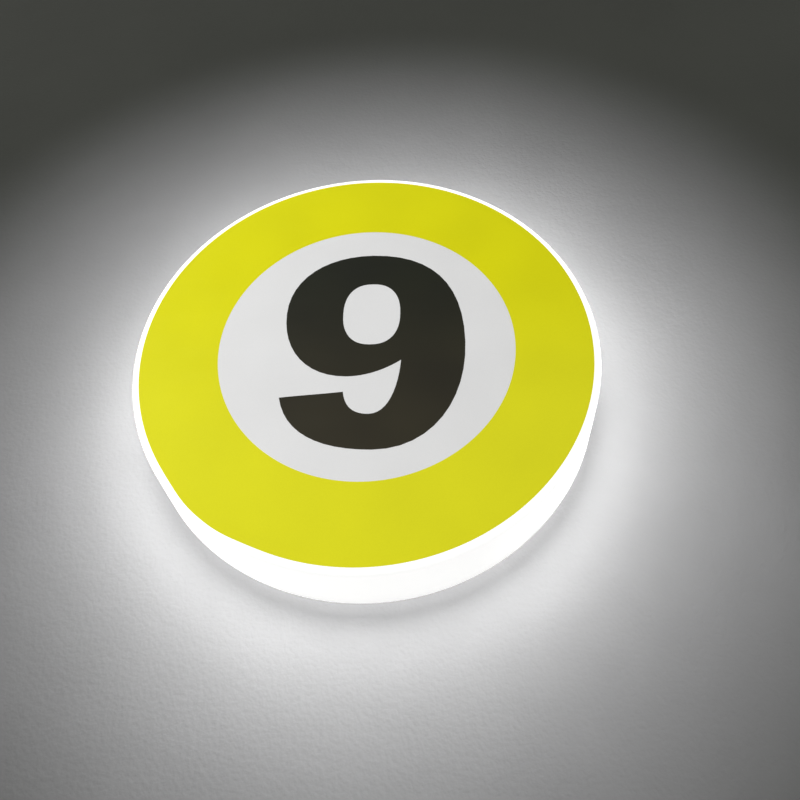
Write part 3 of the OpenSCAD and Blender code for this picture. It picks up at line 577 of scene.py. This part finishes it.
# Radiance of the lamps along the side and behind its back edge, and how wide the latter are
SIDE_GLOW = 12.5
EDGE_GLOW = 5.5
EDGE_LAMP = 0.020
LAMP_GAP = 0.0012
WORLD_LIGHT = 0.34
WORLD_SHOWN = 0.86
SOFT_BOXES = (
    # name, place, size, watts
    ("key", (-1.7, -1.9, 1.3), 1.6, 30.0),
    ("fill", (1.9, -1.7, 0.5), 1.6, 16.0),
    ("back_left", (1.5, 1.8, 1.1), 1.4, 18.0),
    ("back_right", (-1.6, 1.7, 0.5), 1.4, 12.0),
)


def lamp(name, matrix, width, height, watts):
    data = bpy.data.lights.new(name, "AREA")
    data.shape = "RECTANGLE"
    data.size, data.size_y, data.energy = width, height, watts
    made = bpy.data.objects.new(name, data)
    SCENE.collection.objects.link(made)
    made.matrix_world = matrix
    return made


def lamps_round_cover(name, place, across, along, radiance, body):
    """Lamps that repeat the first one's place round the sign's axis, unseen."""
    watts = radiance * math.pi * across * along
    for i in range(RING_LAMPS):
        turn = Matrix.Rotation(2 * math.pi * i / RING_LAMPS, 4, "Y")
        made = lamp(f"{name}_{i:02d}", turn @ place, across, along, watts)
        made.visible_camera = False
        made.visible_glossy = False
        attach(made, body)


def make_light():
    for name, place, size, watts in SOFT_BOXES:
        turn = (-Vector(place)).to_track_quat("-Z", "Y").to_matrix().to_4x4()
        lamp(name, Matrix.Translation(place) @ turn, size, size, watts)
    # The light that the glowing side and its back edge throw on the wall
    low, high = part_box("return_wall")
    chord = 2 * math.pi * high.x / RING_LAMPS
    outward = Matrix.Rotation(math.radians(-90), 4, "Y") @ Matrix.Rotation(math.radians(90), 4, "Z")
    side = Matrix.Translation((high.x + LAMP_GAP, (low.y + high.y) / 2, 0)) @ outward
    lamps_round_cover("side_glow", side, high.y - low.y, chord, SIDE_GLOW, "cover")
    # A lamp shines along its own -Z, which OUT turns to the wall
    edge = Matrix.Translation((high.x - EDGE_LAMP / 2, high.y + LAMP_GAP, 0)) @ OUT
    lamps_round_cover("edge_glow", edge, EDGE_LAMP, chord, EDGE_GLOW, "base")
    world = bpy.data.worlds.new("studio")
    SCENE.world = world
    world.use_nodes = True
    tree = world.node_tree
    back = tree.nodes["Background"]
    back.inputs["Color"].default_value = (1.0, 1.0, 1.0, 1.0)
    level = tree.nodes.new("ShaderNodeMapRange")
    level.inputs["To Min"].default_value = WORLD_LIGHT
    level.inputs["To Max"].default_value = WORLD_SHOWN
    tree.links.new(shown(tree), level.inputs["Value"])
    tree.links.new(level.outputs["Result"], back.inputs["Strength"])


# Fine shapes

WELD = 0.001 * MM
SMOOTH_BELOW = math.radians(35)
SHARP_ABOVE = math.radians(40)
FLAT_BELOW = math.radians(0.3)


def welded(node):
    """A CAD node's mesh with its points joined."""
    bm = bmesh.new()
    bm.from_mesh(NODES[node].data)
    bmesh.ops.remove_doubles(bm, verts=bm.verts, dist=WELD)
    return bm


def solids(node):
    """The points of each separate solid of a CAD node."""
    bm = welded(node)
    bm.verts.ensure_lookup_table()
    met, found = set(), []
    for first in bm.verts:
        if first in met:
            continue
        met.add(first)
        group = [first]
        for vert in group:
            for edge in vert.link_edges:
                other = edge.other_vert(vert)
                if other not in met:
                    met.add(other)
                    group.append(other)
        found.append([vert.co.copy() for vert in group])
    bm.free()
    return found


def corners_of(points):
    """The lowest and highest corner of the box round some points."""
    low = Vector(min(p[k] for p in points) for k in range(3))
    high = Vector(max(p[k] for p in points) for k in range(3))
    return low, high


def shade_by_angle(bm):
    """Smooth shading, but for the sharp edges."""
    for face in bm.faces:
        face.smooth = True
    for edge in bm.edges:
        edge.smooth = edge.is_manifold and edge.calc_face_angle(0.0) < SMOOTH_BELOW


def add_piece(name, bm, slot, body, *nodes):
    """A finished piece on a body, in the place of the CAD nodes that it stands for."""
    bmesh.ops.recalc_face_normals(bm, faces=bm.faces)
    shade_by_angle(bm)
    mesh = bpy.data.meshes.new(name)
    bm.to_mesh(mesh)
    bm.free()
    mesh.materials.append(FINISH[slot])
    piece = bpy.data.objects.new(name, mesh)
    SCENE.collection.objects.link(piece)
    # Flat faces keep their own direction, and the broken edges round off between them
    normals = piece.modifiers.new("normals", "WEIGHTED_NORMAL")
    normals.keep_sharp = True
    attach(piece, body)
    if nodes:
        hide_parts(*nodes)
    return piece


def is_sharp(edge):
    return edge.is_manifold and edge.calc_face_angle(0.0) > SHARP_ABOVE


def bevel(bm, edges, width, segments):
    bmesh.ops.bevel(bm, geom=edges, offset=width * MM, offset_type="OFFSET", segments=segments,
                    profile=0.5, affect="EDGES", clamp_overlap=False)


def plain(node):
    """A CAD node's mesh with its flat faces whole again."""
    bm = welded(node)
    bmesh.ops.dissolve_limit(bm, angle_limit=FLAT_BELOW, verts=bm.verts, edges=bm.edges)
    return bm


EASED = (
    # node, slot, width of the broken edge in millimetres
    ("driver_case", "driver_alloy", 0.3), ("driver_end_caps", "grey_plastic", 0.5),
    ("junction_box", "box_plastic", 0.5), ("junction_lid", "box_plastic", 0.5),
    ("wall_spacers", "spacer_alloy", 0.35), ("spacer_pads", "rubber", 0.3),
    ("seat_blocks", "clear_acrylic", 0.25), ("cover_magnets", "magnet_plate", 0.2),
    ("terminal_block", "terminal_plastic", 0.2), ("gland_body", "gland_plastic", 0.3),
    ("feed_grommet", "rubber", 0.3), ("box_grommet", "rubber", 0.3),
)
EASED_STEPS = 2


def eased(node, slot, width):
    """A CAD node with its sharp edges broken, as moulding, turning or filing leaves them."""
    bm = plain(node)
    bevel(bm, [edge for edge in bm.edges if is_sharp(edge)], width, EASED_STEPS)
    add_piece(node + "_eased", bm, slot, NODES[node]["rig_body"], node)


MOULDED = (
    # node, slot, rounding along the top and elsewhere in millimetres
    ("led_housings", "module_plastic", 0.9, 0.25), ("wire_clips", "module_plastic", 1.3, 0.25),
)
# Shortest edge of a top that is rounded, and how far its ends may lie below the top
CROWN_LEAST = 4.0 * MM
CROWN_BAND = 0.05 * MM
CROWN_STEPS = 4


def moulded(node, slot, crown, rest):
    """A CAD node that is rounded fuller along the long edges of its top, as moulded pieces are."""
    bm = plain(node)
    top = min(vert.co.y for vert in bm.verts)
    upper = [edge for edge in bm.edges if is_sharp(edge) and edge.calc_length() > CROWN_LEAST
             and all(vert.co.y < top + CROWN_BAND for vert in edge.verts)]
    bevel(bm, upper, crown, CROWN_STEPS)
    bevel(bm, [edge for edge in bm.edges if is_sharp(edge)], rest, 1)
    add_piece(node + "_moulded", bm, slot, "base", node)


LEADS = (
    # node, slot, longest edge in millimetres that isn't rounded
    ("led_wires_red", "wire_red", 0.9), ("led_wires_black", "wire_black", 0.9),
    ("mains_lead", "lead_sheath", 2.4), ("output_lead", "lead_sheath", 2.4),
)
LEAD_CUTS = 2
LEAD_TINY = 0.01 * MM


def rounded_lead(node, slot, longest):
    """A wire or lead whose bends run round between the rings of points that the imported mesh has."""
    bm = plain(node)
    # Its flat ends come off first and are closed again at the end
    ends = [face for face in bm.faces if all(is_sharp(edge) for edge in face.edges)]
    bmesh.ops.delete(bm, geom=ends, context="FACES_ONLY")
    bmesh.ops.join_triangles(bm, faces=bm.faces, angle_face_threshold=SHARP_ABOVE,
                             angle_shape_threshold=math.pi)
    bm.normal_update()
    run = [edge for edge in bm.edges if edge.is_manifold and edge.calc_length() > longest * MM]
    bmesh.ops.subdivide_edges(bm, edges=run, cuts=LEAD_CUTS, smooth=1.0, smooth_falloff="LINEAR",
                              use_grid_fill=True)
    bmesh.ops.dissolve_degenerate(bm, dist=LEAD_TINY, edges=bm.edges)
    bmesh.ops.holes_fill(bm, edges=bm.edges, sides=0)
    midway = [vert for vert in bm.verts if len(vert.link_edges) == 2]
    bmesh.ops.dissolve_verts(bm, verts=midway)
    add_piece(node + "_rounded", bm, slot, "base", node)


# Turned and threaded pieces, in millimetres on their own axis

def join(bm, first, second):
    """Faces between two rings of points, or between a ring and its pole."""
    count = max(len(first), len(second))
    for k in range(count):
        loop = [first[k % len(first)], first[(k + 1) % len(first)],
                second[(k + 1) % len(second)], second[k % len(second)]]
        bm.faces.new(dict.fromkeys(loop))


def lathe(bm, place, profile, sides=32, closed=False):
    """A turned solid of (radius, height) pairs, where a radius may be a function of the angle."""
    rings = []
    for radius, height in profile:
        if radius == 0:
            rings.append([bm.verts.new(place @ Vector((0, 0, height * MM)))])
            continue
        ring = []
        for k in range(sides):
            angle = 2 * math.pi * k / sides
            reach = radius(angle) if callable(radius) else radius
            point = Vector((reach * math.cos(angle), reach * math.sin(angle), height)) * MM
            ring.append(bm.verts.new(place @ point))
        rings.append(ring)
    for first, second in zip(rings, rings[1:] + rings[:1] if closed else rings[1:]):
        join(bm, first, second)
    return rings


# Half of the angle of a hexagon's flat: a flat faces X, and its corners stand this far from it
HALF_FLAT = math.radians(30)


def hexagon(corner, limit):
    """The radius of a hexagon with its corners turned down to a limit."""
    flat = corner * math.cos(HALF_FLAT)

    def radius(angle):
        turn = (angle + HALF_FLAT) % (2 * HALF_FLAT) - HALF_FLAT
        return min(limit, flat / math.cos(turn))
    return radius


# Depth of a thread as a share of its pitch
THREAD_DEPTH = 0.55


def thread(major, pitch, height, limit):
    """The radius of a V thread at a height."""
    depth = THREAD_DEPTH * pitch

    def radius(angle):
        share = (height / pitch - angle / (2 * math.pi)) % 1.0
        return min(limit, major - depth * abs(2 * share - 1))
    return radius


def zip_loops(bm, outer, inner):
    """Triangles between two loops of (angle, point) that go round the same way from about the same angle."""
    i = j = 0
    while i < len(outer) or j < len(inner):
        a, b = outer[i % len(outer)][1], inner[j % len(inner)][1]
        next_outer = outer[(i + 1) % len(outer)][0] + 2 * math.pi * ((i + 1) // len(outer))
        next_inner = inner[(j + 1) % len(inner)][0] + 2 * math.pi * ((j + 1) // len(inner))
        if j >= len(inner) or (i < len(outer) and next_outer <= next_inner):
            i += 1
            bm.faces.new((a, outer[i % len(outer)][1], b))
        else:
            j += 1
            bm.faces.new((a, inner[j % len(inner)][1], b))


def cross(half, reach):
    """The outline of a cross recess."""
    arm = [(reach, half), (half, half), (half, reach)]
    quarters = ((1, 0), (0, 1), (-1, 0), (0, -1))
    return [(x * c - y * s, x * s + y * c) for c, s in quarters for x, y in arm]


HEAD_SIDES = 48
# Rings of a pan head, its rim and its foot as shares of its radius and height
HEAD_RINGS = (0.64, 0.75, 0.85, 0.92, 0.97, 1.0)
HEAD_RIM = 0.55
HEAD_FOOT = (0.96, 0.1)
HEAD_POWER = 2.5
# The cross slot: reach and half width by the head's radius, depth by its height, and its floor's taper
SLOT_REACH = 0.56
SLOT_HALF = 0.13
SLOT_DEPTH = 0.55
SLOT_FLOOR = 0.62
SLOT_POINT = 1.12
# The shank: pitch and rings to a turn of its thread, the heights where it starts, and its pointed tip
COARSE = 0.5
THREAD_STEPS = 6
PLAIN_SHANK = 0.25
THREAD_START = 0.5
TIP = 0.6
TIP_SLOPE = 0.6


def pan_screw(bm, place, head_r, head_h, shank_r, length, pitch=COARSE):
    """A pan-head screw whose head bears on height 0, with its shank above."""
    def crown(radius):
        rise = math.sqrt(1 - min(1.0, radius / head_r) ** HEAD_POWER)
        return -head_h * (HEAD_RIM + (1 - HEAD_RIM) * rise)

    head = [(share * head_r, crown(share * head_r)) for share in HEAD_RINGS]
    foot_r, foot_h = HEAD_FOOT
    head += [(head_r, -foot_h * head_h), (foot_r * head_r, 0.0)]
    shank = [(shank_r, 0.0), (shank_r, PLAIN_SHANK)]
    turns = int((length - THREAD_START) / pitch * THREAD_STEPS)
    for k in range(turns + 1):
        height = THREAD_START + (length - THREAD_START) * k / turns
        tip = shank_r - TIP_SLOPE * max(0.0, height - (length - TIP))
        shank.append((thread(shank_r, pitch, height, tip), height))
    rings = lathe(bm, place, head + shank + [(0, length)], HEAD_SIDES)

    outline = cross(SLOT_HALF * head_r, SLOT_REACH * head_r)
    depth = SLOT_DEPTH * head_h

    def points_at(spots):
        return [bm.verts.new(place @ (Vector(spot) * MM)) for spot in spots]

    mouth = points_at((x, y, crown(math.hypot(x, y))) for x, y in outline)
    floor = points_at((x * SLOT_FLOOR, y * SLOT_FLOOR, depth - head_h) for x, y in outline)
    point = points_at([(0, 0, SLOT_POINT * depth - head_h)])
    outer = [(2 * math.pi * k / HEAD_SIDES, vert) for k, vert in enumerate(rings[0])]
    angles = [math.atan2(y, x) % (2 * math.pi) for x, y in outline]
    zip_loops(bm, outer, sorted(zip(angles, mouth), key=lambda pair: pair[0]))
    join(bm, mouth, floor)
    join(bm, floor, point)


def on_wall(x, y, height):
    """A place whose Z comes out of the wall, in millimetres above it."""
    return OUT @ Matrix.Translation((x, y, height * MM))


def stand(points):
    """Where a solid stands on the wall: its middle, and its lowest and highest height in millimetres."""
    low, high = corners_of(points)
    return (low.x + high.x) / 2, (low.z + high.z) / 2, -high.y / MM, -low.y / MM


def screws(node, slot, head_r, head_h, shank_r, pitch=COARSE, head_out=False):
    """Screws in the place of a node's solids, with their heads to the wall or out from it."""
    bm = bmesh.new()
    for points in solids(node):
        x, y, base, top = stand(points)
        if head_out:
            place = on_wall(x, y, top - head_h) @ Matrix.Rotation(math.pi, 4, "X")
        else:
            place = on_wall(x, y, base + head_h)
        pan_screw(bm, place, head_r, head_h, shank_r, top - base - head_h, pitch)
    add_piece(node + "_cut", bm, slot, "base", node)


# A nut's face inside its flats, and the height that its corners and its bore's mouth are turned back by
NUT_FACE = 0.1
NUT_CORNER = 0.28
NUT_MOUTH = 0.25


def nuts(node, slot, corner, bore):
    """Hexagon nuts in the place of a node's solids."""
    bm = bmesh.new()
    face = hexagon(corner, corner * math.cos(HALF_FLAT) - NUT_FACE)
    full = hexagon(corner, corner)
    mouth = bore + NUT_MOUTH
    for points in solids(node):
        x, y, base, top = stand(points)
        tall = top - base
        outside = [(face, 0.0), (full, NUT_CORNER), (full, tall - NUT_CORNER), (face, tall)]
        inside = [(mouth, tall), (bore, tall - NUT_MOUTH), (bore, NUT_MOUTH), (mouth, 0.0)]
        lathe(bm, on_wall(x, y, base), outside + inside, HEAD_SIDES, closed=True)
    add_piece(node + "_cut", bm, slot, "base", node)


RIVET = (
    # radius and height above the rivet's tail: mandrel hole, domed head, shank and set tail
    (0, 3.6), (0.75, 3.6), (0.85, 4.55), (1.2, 4.68), (1.8, 4.58), (2.4, 4.25), (2.85, 3.8), (3.0, 3.55),
    (2.92, 3.5), (1.5, 3.5), (1.5, 0.8), (2.3, 0.8), (2.4, 0.62), (2.25, 0.3), (1.7, 0.06), (0.9, 0.0),
    (0.8, 0.25), (0, 0.3),
)


def rivets():
    """The brackets' blind rivets."""
    bm = bmesh.new()
    for points in solids("bracket_rivets"):
        x, y, base, _ = stand(points)
        lathe(bm, on_wall(x, y, base), RIVET)
    add_piece("bracket_rivets_set", bm, "rivet_alloy", "base", "bracket_rivets")


GLAND_CORNER = 9.0
GLAND_OUTSIDE = (
    # radius that the hexagon is turned down to, and height
    (8.4, 0.0), (9.0, 0.5), (9.0, 6.6), (8.7, 7.2), (8.2, 8.0), (7.75, 8.8), (7.5, 9.8), (7.1, 10.9),
    (6.5, 11.8), (5.7, 12.5), (4.9, 12.9), (4.4, 13.0),
)
GLAND_INSIDE = ((4.0, 12.85), (3.75, 12.5), (3.75, 11.5), (4.95, 11.5), (4.95, 6.0), (6.6, 6.0), (6.6, 0.0))


def gland_dome():
    """The gland's nut: a hexagon that runs into a dome round the cable's hole."""
    low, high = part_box("gland_nut")
    along_x = OUT @ Matrix.Rotation(math.radians(90), 4, "Y")
    place = Matrix.Translation((low.x, (low.y + high.y) / 2, (low.z + high.z) / 2)) @ along_x
    outside = [(hexagon(GLAND_CORNER, limit), height) for limit, height in GLAND_OUTSIDE]
    bm = bmesh.new()
    lathe(bm, place, outside + list(GLAND_INSIDE), HEAD_SIDES, closed=True)
    add_piece("gland_nut_domed", bm, "gland_plastic", "base", "gland_nut")


LENS_FOOT = 1.2
LENS_EDGE = 0.1
LENS_LIP = 0.35
LENS_STEPS = 8
# Radius and height of the room under a lens for its chip
CHIP_ROOM = (2.44, 0.8)


def lenses():
    """A domed lens over each chip, with a small flat lip round the dome."""
    room, roof = CHIP_ROOM
    chip_room = [(0, roof), (room, roof), (room, 0.0)]
    bm = bmesh.new()
    for points in solids("led_lenses"):
        low, high = corners_of(points)
        x, y, base, top = stand(points)
        reach, tall = (high.x - low.x) / 2 / MM, top - base
        dome, rise = reach - LENS_LIP, tall - LENS_FOOT
        ball = (dome ** 2 + rise ** 2) / (2 * rise)
        turns = [math.asin(dome / ball) * k / LENS_STEPS for k in range(LENS_STEPS, 0, -1)]
        arc = [(ball * math.sin(turn), tall - ball * (1 - math.cos(turn))) for turn in turns]
        foot = [(reach, 0.0), (reach, LENS_FOOT - LENS_EDGE), (reach - LENS_EDGE, LENS_FOOT)]
        lathe(bm, on_wall(x, y, base), chip_room + foot + arc + [(0, tall)])
    add_piece("led_lenses_domed", bm, "lens_acrylic", "base", "led_lenses")


# Head radius, head height, shank radius and length
CAP_SCREW = (2.0, 1.3, 1.0, 3.0)
CAP_SCREW_SPREAD = 14.0
CAP_BOSS = 5.0


def cap_screws():
    """Two small screws in each end cap of the driver."""
    low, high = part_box("driver_case")
    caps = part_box("driver_end_caps")
    middle = Vector(((low.x + high.x) / 2, (caps[0].y + caps[1].y) / 2, (low.z + high.z) / 2))
    face = (caps[1].x - caps[0].x) / 2 - CAP_BOSS * MM
    bm = bmesh.new()
    for side in (-1, 1):
        turn = Matrix.Rotation(math.radians(-90 * side), 4, "Y")
        for up in (-1, 1):
            spot = middle + Vector((side * face, 0, up * CAP_SCREW_SPREAD * MM))
            pan_screw(bm, Matrix.Translation(spot) @ turn, *CAP_SCREW)
    add_piece("driver_cap_screws", bm, "zinc_steel", "base")


BEND = 1.1
BEND_STEPS = 4
BRACKET_EDGE = 0.15
# A bend is longer than this, and lies this far in from the bracket's foot and from its tip
BEND_LEAST = 20.0 * MM
FOOT_LEAST = 4.0 * MM
TIP_LEAST = 6.0 * MM


def bent_brackets():
    """The catch brackets, with the round bends of folded strip."""
    bm = plain("catch_brackets")
    radii = sorted(math.hypot(v.co.x, v.co.z) for v in bm.verts)
    foot, tip = radii[0], radii[-1]

    def bend(edge):
        middle = (edge.verts[0].co + edge.verts[1].co) / 2
        reach = math.hypot(middle.x, middle.z)
        inside = foot + FOOT_LEAST < reach < tip - TIP_LEAST
        return is_sharp(edge) and inside and edge.calc_length() > BEND_LEAST
    bevel(bm, [edge for edge in bm.edges if bend(edge)], BEND, BEND_STEPS)
    bevel(bm, [edge for edge in bm.edges if is_sharp(edge)], BRACKET_EDGE, 1)
    add_piece("catch_brackets_bent", bm, "zinc_steel", "base", "catch_brackets")


# Cover

COVER_SIDES = 480
FRONT_ROUND = 3.6
BACK_CHAMFER = 0.8
FACE_STEPS = 12
SIDE_STEPS = 2


def turned_cover():
    """The cover's face and side, rounded together at the front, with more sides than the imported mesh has."""
    low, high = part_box("face_panel")
    seam, front = -high.y / MM, -low.y / MM
    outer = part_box("return_wall")[1]
    reach, back = outer.x / MM, -outer.y / MM
    centre = front - FRONT_ROUND
    # The seam between face and side lies on the rounded edge, at this angle
    at_seam = math.asin((seam - centre) / FRONT_ROUND)

    def edge(start, end, steps):
        turns = [start + (end - start) * k / steps for k in range(steps + 1)]
        return [(reach - FRONT_ROUND * (1 - math.cos(t)), centre + FRONT_ROUND * math.sin(t)) for t in turns]
    bm = bmesh.new()
    face = edge(at_seam, math.radians(90), FACE_STEPS)
    lathe(bm, OUT, [(0, seam)] + face + [(0, front)], COVER_SIDES)
    add_piece("face_panel_turned", bm, "opal_acrylic", "cover", "face_panel")
    inside = min(math.hypot(v.co.x, v.co.z) for v in NODES["return_wall"].data.vertices) / MM
    bm = bmesh.new()
    side = [(inside, back), (reach - BACK_CHAMFER, back), (reach, back + BACK_CHAMFER)]
    side += edge(0.0, at_seam, SIDE_STEPS) + [(inside, seam)]
    lathe(bm, OUT, side, COVER_SIDES, closed=True)
    add_piece("return_wall_turned", bm, "opal_acrylic", "cover", "return_wall")


# Foam

STRIP_STEPS = 240
STRIP_POINTS = 18
STRIP_JOINT = math.radians(248)
STRIP_GAP = 0.0008
STRIP_SQUARE = 0.4
# How much the strip is pressed in and shifted: size, waves round the rim and phase of each part
STRIP_PRESS = 0.06
STRIP_PRESS_WAVES = ((0.035, 5, 0), (0.025, 13, 1), (0.02, 31, 0))
STRIP_SHIFT_WAVES = ((0.02, 3, 0), (0.012, 11, 2))


def squared(value):
    """A sine made fuller, so that a round section becomes a square one with soft corners."""
    return math.copysign(abs(value) ** STRIP_SQUARE, value)


def waves(angle, parts):
    return sum(size * math.sin(count * angle + phase) for size, count, phase in parts)


def loft(bm, rings):
    """A closed tube through rings of points."""
    for first, second in zip(rings, rings[1:]):
        join(bm, first, second)
    bm.faces.new(rings[0])
    bm.faces.new(rings[-1])


def foam_strip():
    """The rim's foam: a strip with soft edges that ends in a butt joint, pressed a little unevenly."""
    low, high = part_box("edge_gasket")
    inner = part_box("back_tray")[1].x
    thick, wide = high.x - inner, high.y - low.y
    bm = bmesh.new()
    rings = []
    for i in range(STRIP_STEPS + 1):
        angle = STRIP_JOINT + (2 * math.pi - STRIP_GAP / inner) * i / STRIP_STEPS
        press = STRIP_PRESS + waves(angle, STRIP_PRESS_WAVES)
        shift = waves(angle, STRIP_SHIFT_WAVES)
        ring = []
        for k in range(STRIP_POINTS):
            turn = 2 * math.pi * k / STRIP_POINTS
            out = (0.5 + 0.5 * squared(math.cos(turn))) * (1 - press)
            along = 0.5 + (0.5 - abs(shift)) * squared(math.sin(turn)) + shift
            reach = inner + thick * out
            point = (reach * math.cos(angle), low.y + wide * along, reach * math.sin(angle))
            ring.append(bm.verts.new(point))
        rings.append(ring)
    loft(bm, rings)
    add_piece("edge_gasket_foam", bm, "foam", "base", "edge_gasket")


TAPE_CORNER = 0.0015
TAPE_STEPS = 4
TAPE_BAND = 0.1 * MM
# Inset in millimetres and share of the height, up the bulging side
TAPE_SIDE = ((0.30, 0.0), (0.08, 0.18), (0.0, 0.5), (0.08, 0.82), (0.30, 1.0))


def rounded_rectangle(length, width, corner):
    """The outline of a rectangle with round corners."""
    for k, (sx, sy) in enumerate(((1, 1), (-1, 1), (-1, -1), (1, -1))):
        for i in range(TAPE_STEPS + 1):
            turn = math.radians(90) * (k + i / TAPE_STEPS)
            yield (sx * (length / 2 - corner) + corner * math.cos(turn),
                   sy * (width / 2 - corner) + corner * math.sin(turn))


def foam_tape():
    """The tape under each module, squeezed so that its cut edge bulges."""
    bm = bmesh.new()
    for points in solids("led_pads"):
        low, high = corners_of(points)
        middle = (low + high) / 2
        flat = [p - middle for p in points if abs(p.y - low.y) < TAPE_BAND]
        flat.sort(key=lambda p: math.atan2(p.z, p.x))
        sides = [flat[1] - flat[0], flat[2] - flat[1]]
        sides.sort(key=lambda side: -side.length)
        length, width = sides[0].length, sides[1].length
        along, beside = sides[0].normalized(), sides[1].normalized()
        rings = []
        for inset, share in TAPE_SIDE:
            out = Vector((middle.x, high.y + (low.y - high.y) * share, middle.z))
            cut = 2 * inset * MM
            rings.append([bm.verts.new(out + x * along + y * beside)
                          for x, y in rounded_rectangle(length - cut, width - cut, TAPE_CORNER)])
        loft(bm, rings)
    add_piece("led_pads_tape", bm, "tape", "base", "led_pads")


# Films

FILM_STEPS = 540
STRAY_AT = math.radians(233)
STRAY_WIDE = math.radians(10)
STRAY = 0.00245
STRAY_POWER = 3
DISC_OFF = Vector((0.00085, 0.0, -0.0003))
RING_HOLE = 0.12775


def film_edge(angle, radius):
    """The print's outer edge: a circle that runs a little wide where the film was trimmed by hand."""
    away = (angle - STRAY_AT + math.pi) % (2 * math.pi) - math.pi
    return radius + STRAY * math.exp(-abs(away / STRAY_WIDE) ** STRAY_POWER)


def ring_points(bm, reach, depth, middle=Vector()):
    """Points round an edge of a film, at a depth."""
    points = []
    for k in range(FILM_STEPS):
        angle = 2 * math.pi * k / FILM_STEPS
        out = reach(angle)
        point = Vector((out * math.cos(angle), depth, out * math.sin(angle)))
        points.append(bm.verts.new(middle + point))
    return points


def trimmed_films():
    """The white and the yellow film, with the edges that the photo shows."""
    low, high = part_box("base_film")
    bm = bmesh.new()
    loft(bm, [ring_points(bm, lambda angle: film_edge(angle, high.x), depth) for depth in (high.y, low.y)])
    add_piece("base_film_trimmed", bm, "white_film", "cover", "base_film")
    low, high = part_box("ring_film")
    bm = bmesh.new()
    loops = []
    for reach, middle, depths in ((lambda angle: film_edge(angle, high.x), Vector(), (high.y, low.y)),
                                  (lambda angle: RING_HOLE, DISC_OFF, (low.y, high.y))):
        loops += [ring_points(bm, reach, depth, middle) for depth in depths]
    for first, second in zip(loops, loops[1:] + loops[:1]):
        join(bm, first, second)
    add_piece("ring_film_trimmed", bm, "yellow_film", "cover", "ring_film")


# The making

make_camera()
make_stage()
make_light()
for piece in NODES.values():
    piece.material_slots[0].material = FINISH[piece.material_slots[0].material.name.split(".")[0]]
for node, slot, width in EASED:
    eased(node, slot, width)
for node, slot, crown, rest in MOULDED:
    moulded(node, slot, crown, rest)
for node, slot, longest in LEADS:
    rounded_lead(node, slot, longest)
screws("lid_screws", "zinc_steel", head_r=2.8, head_h=2.0, shank_r=1.2)
screws("driver_screws", "zinc_steel", head_r=2.8, head_h=2.0, shank_r=1.5)
screws("box_screws", "zinc_steel", head_r=2.8, head_h=2.0, shank_r=1.5)
screws("earth_screw", "brass", head_r=4.0, head_h=2.6, shank_r=2.0, pitch=0.7, head_out=True)
nuts("driver_nuts", "zinc_steel", corner=3.1, bore=1.55)
nuts("box_nuts", "zinc_steel", corner=3.1, bore=1.55)
rivets()
lenses()
gland_dome()
cap_screws()
bent_brackets()
turned_cover()
foam_strip()
foam_tape()
trimmed_films()

SCENE.view_settings.view_transform = "Standard"
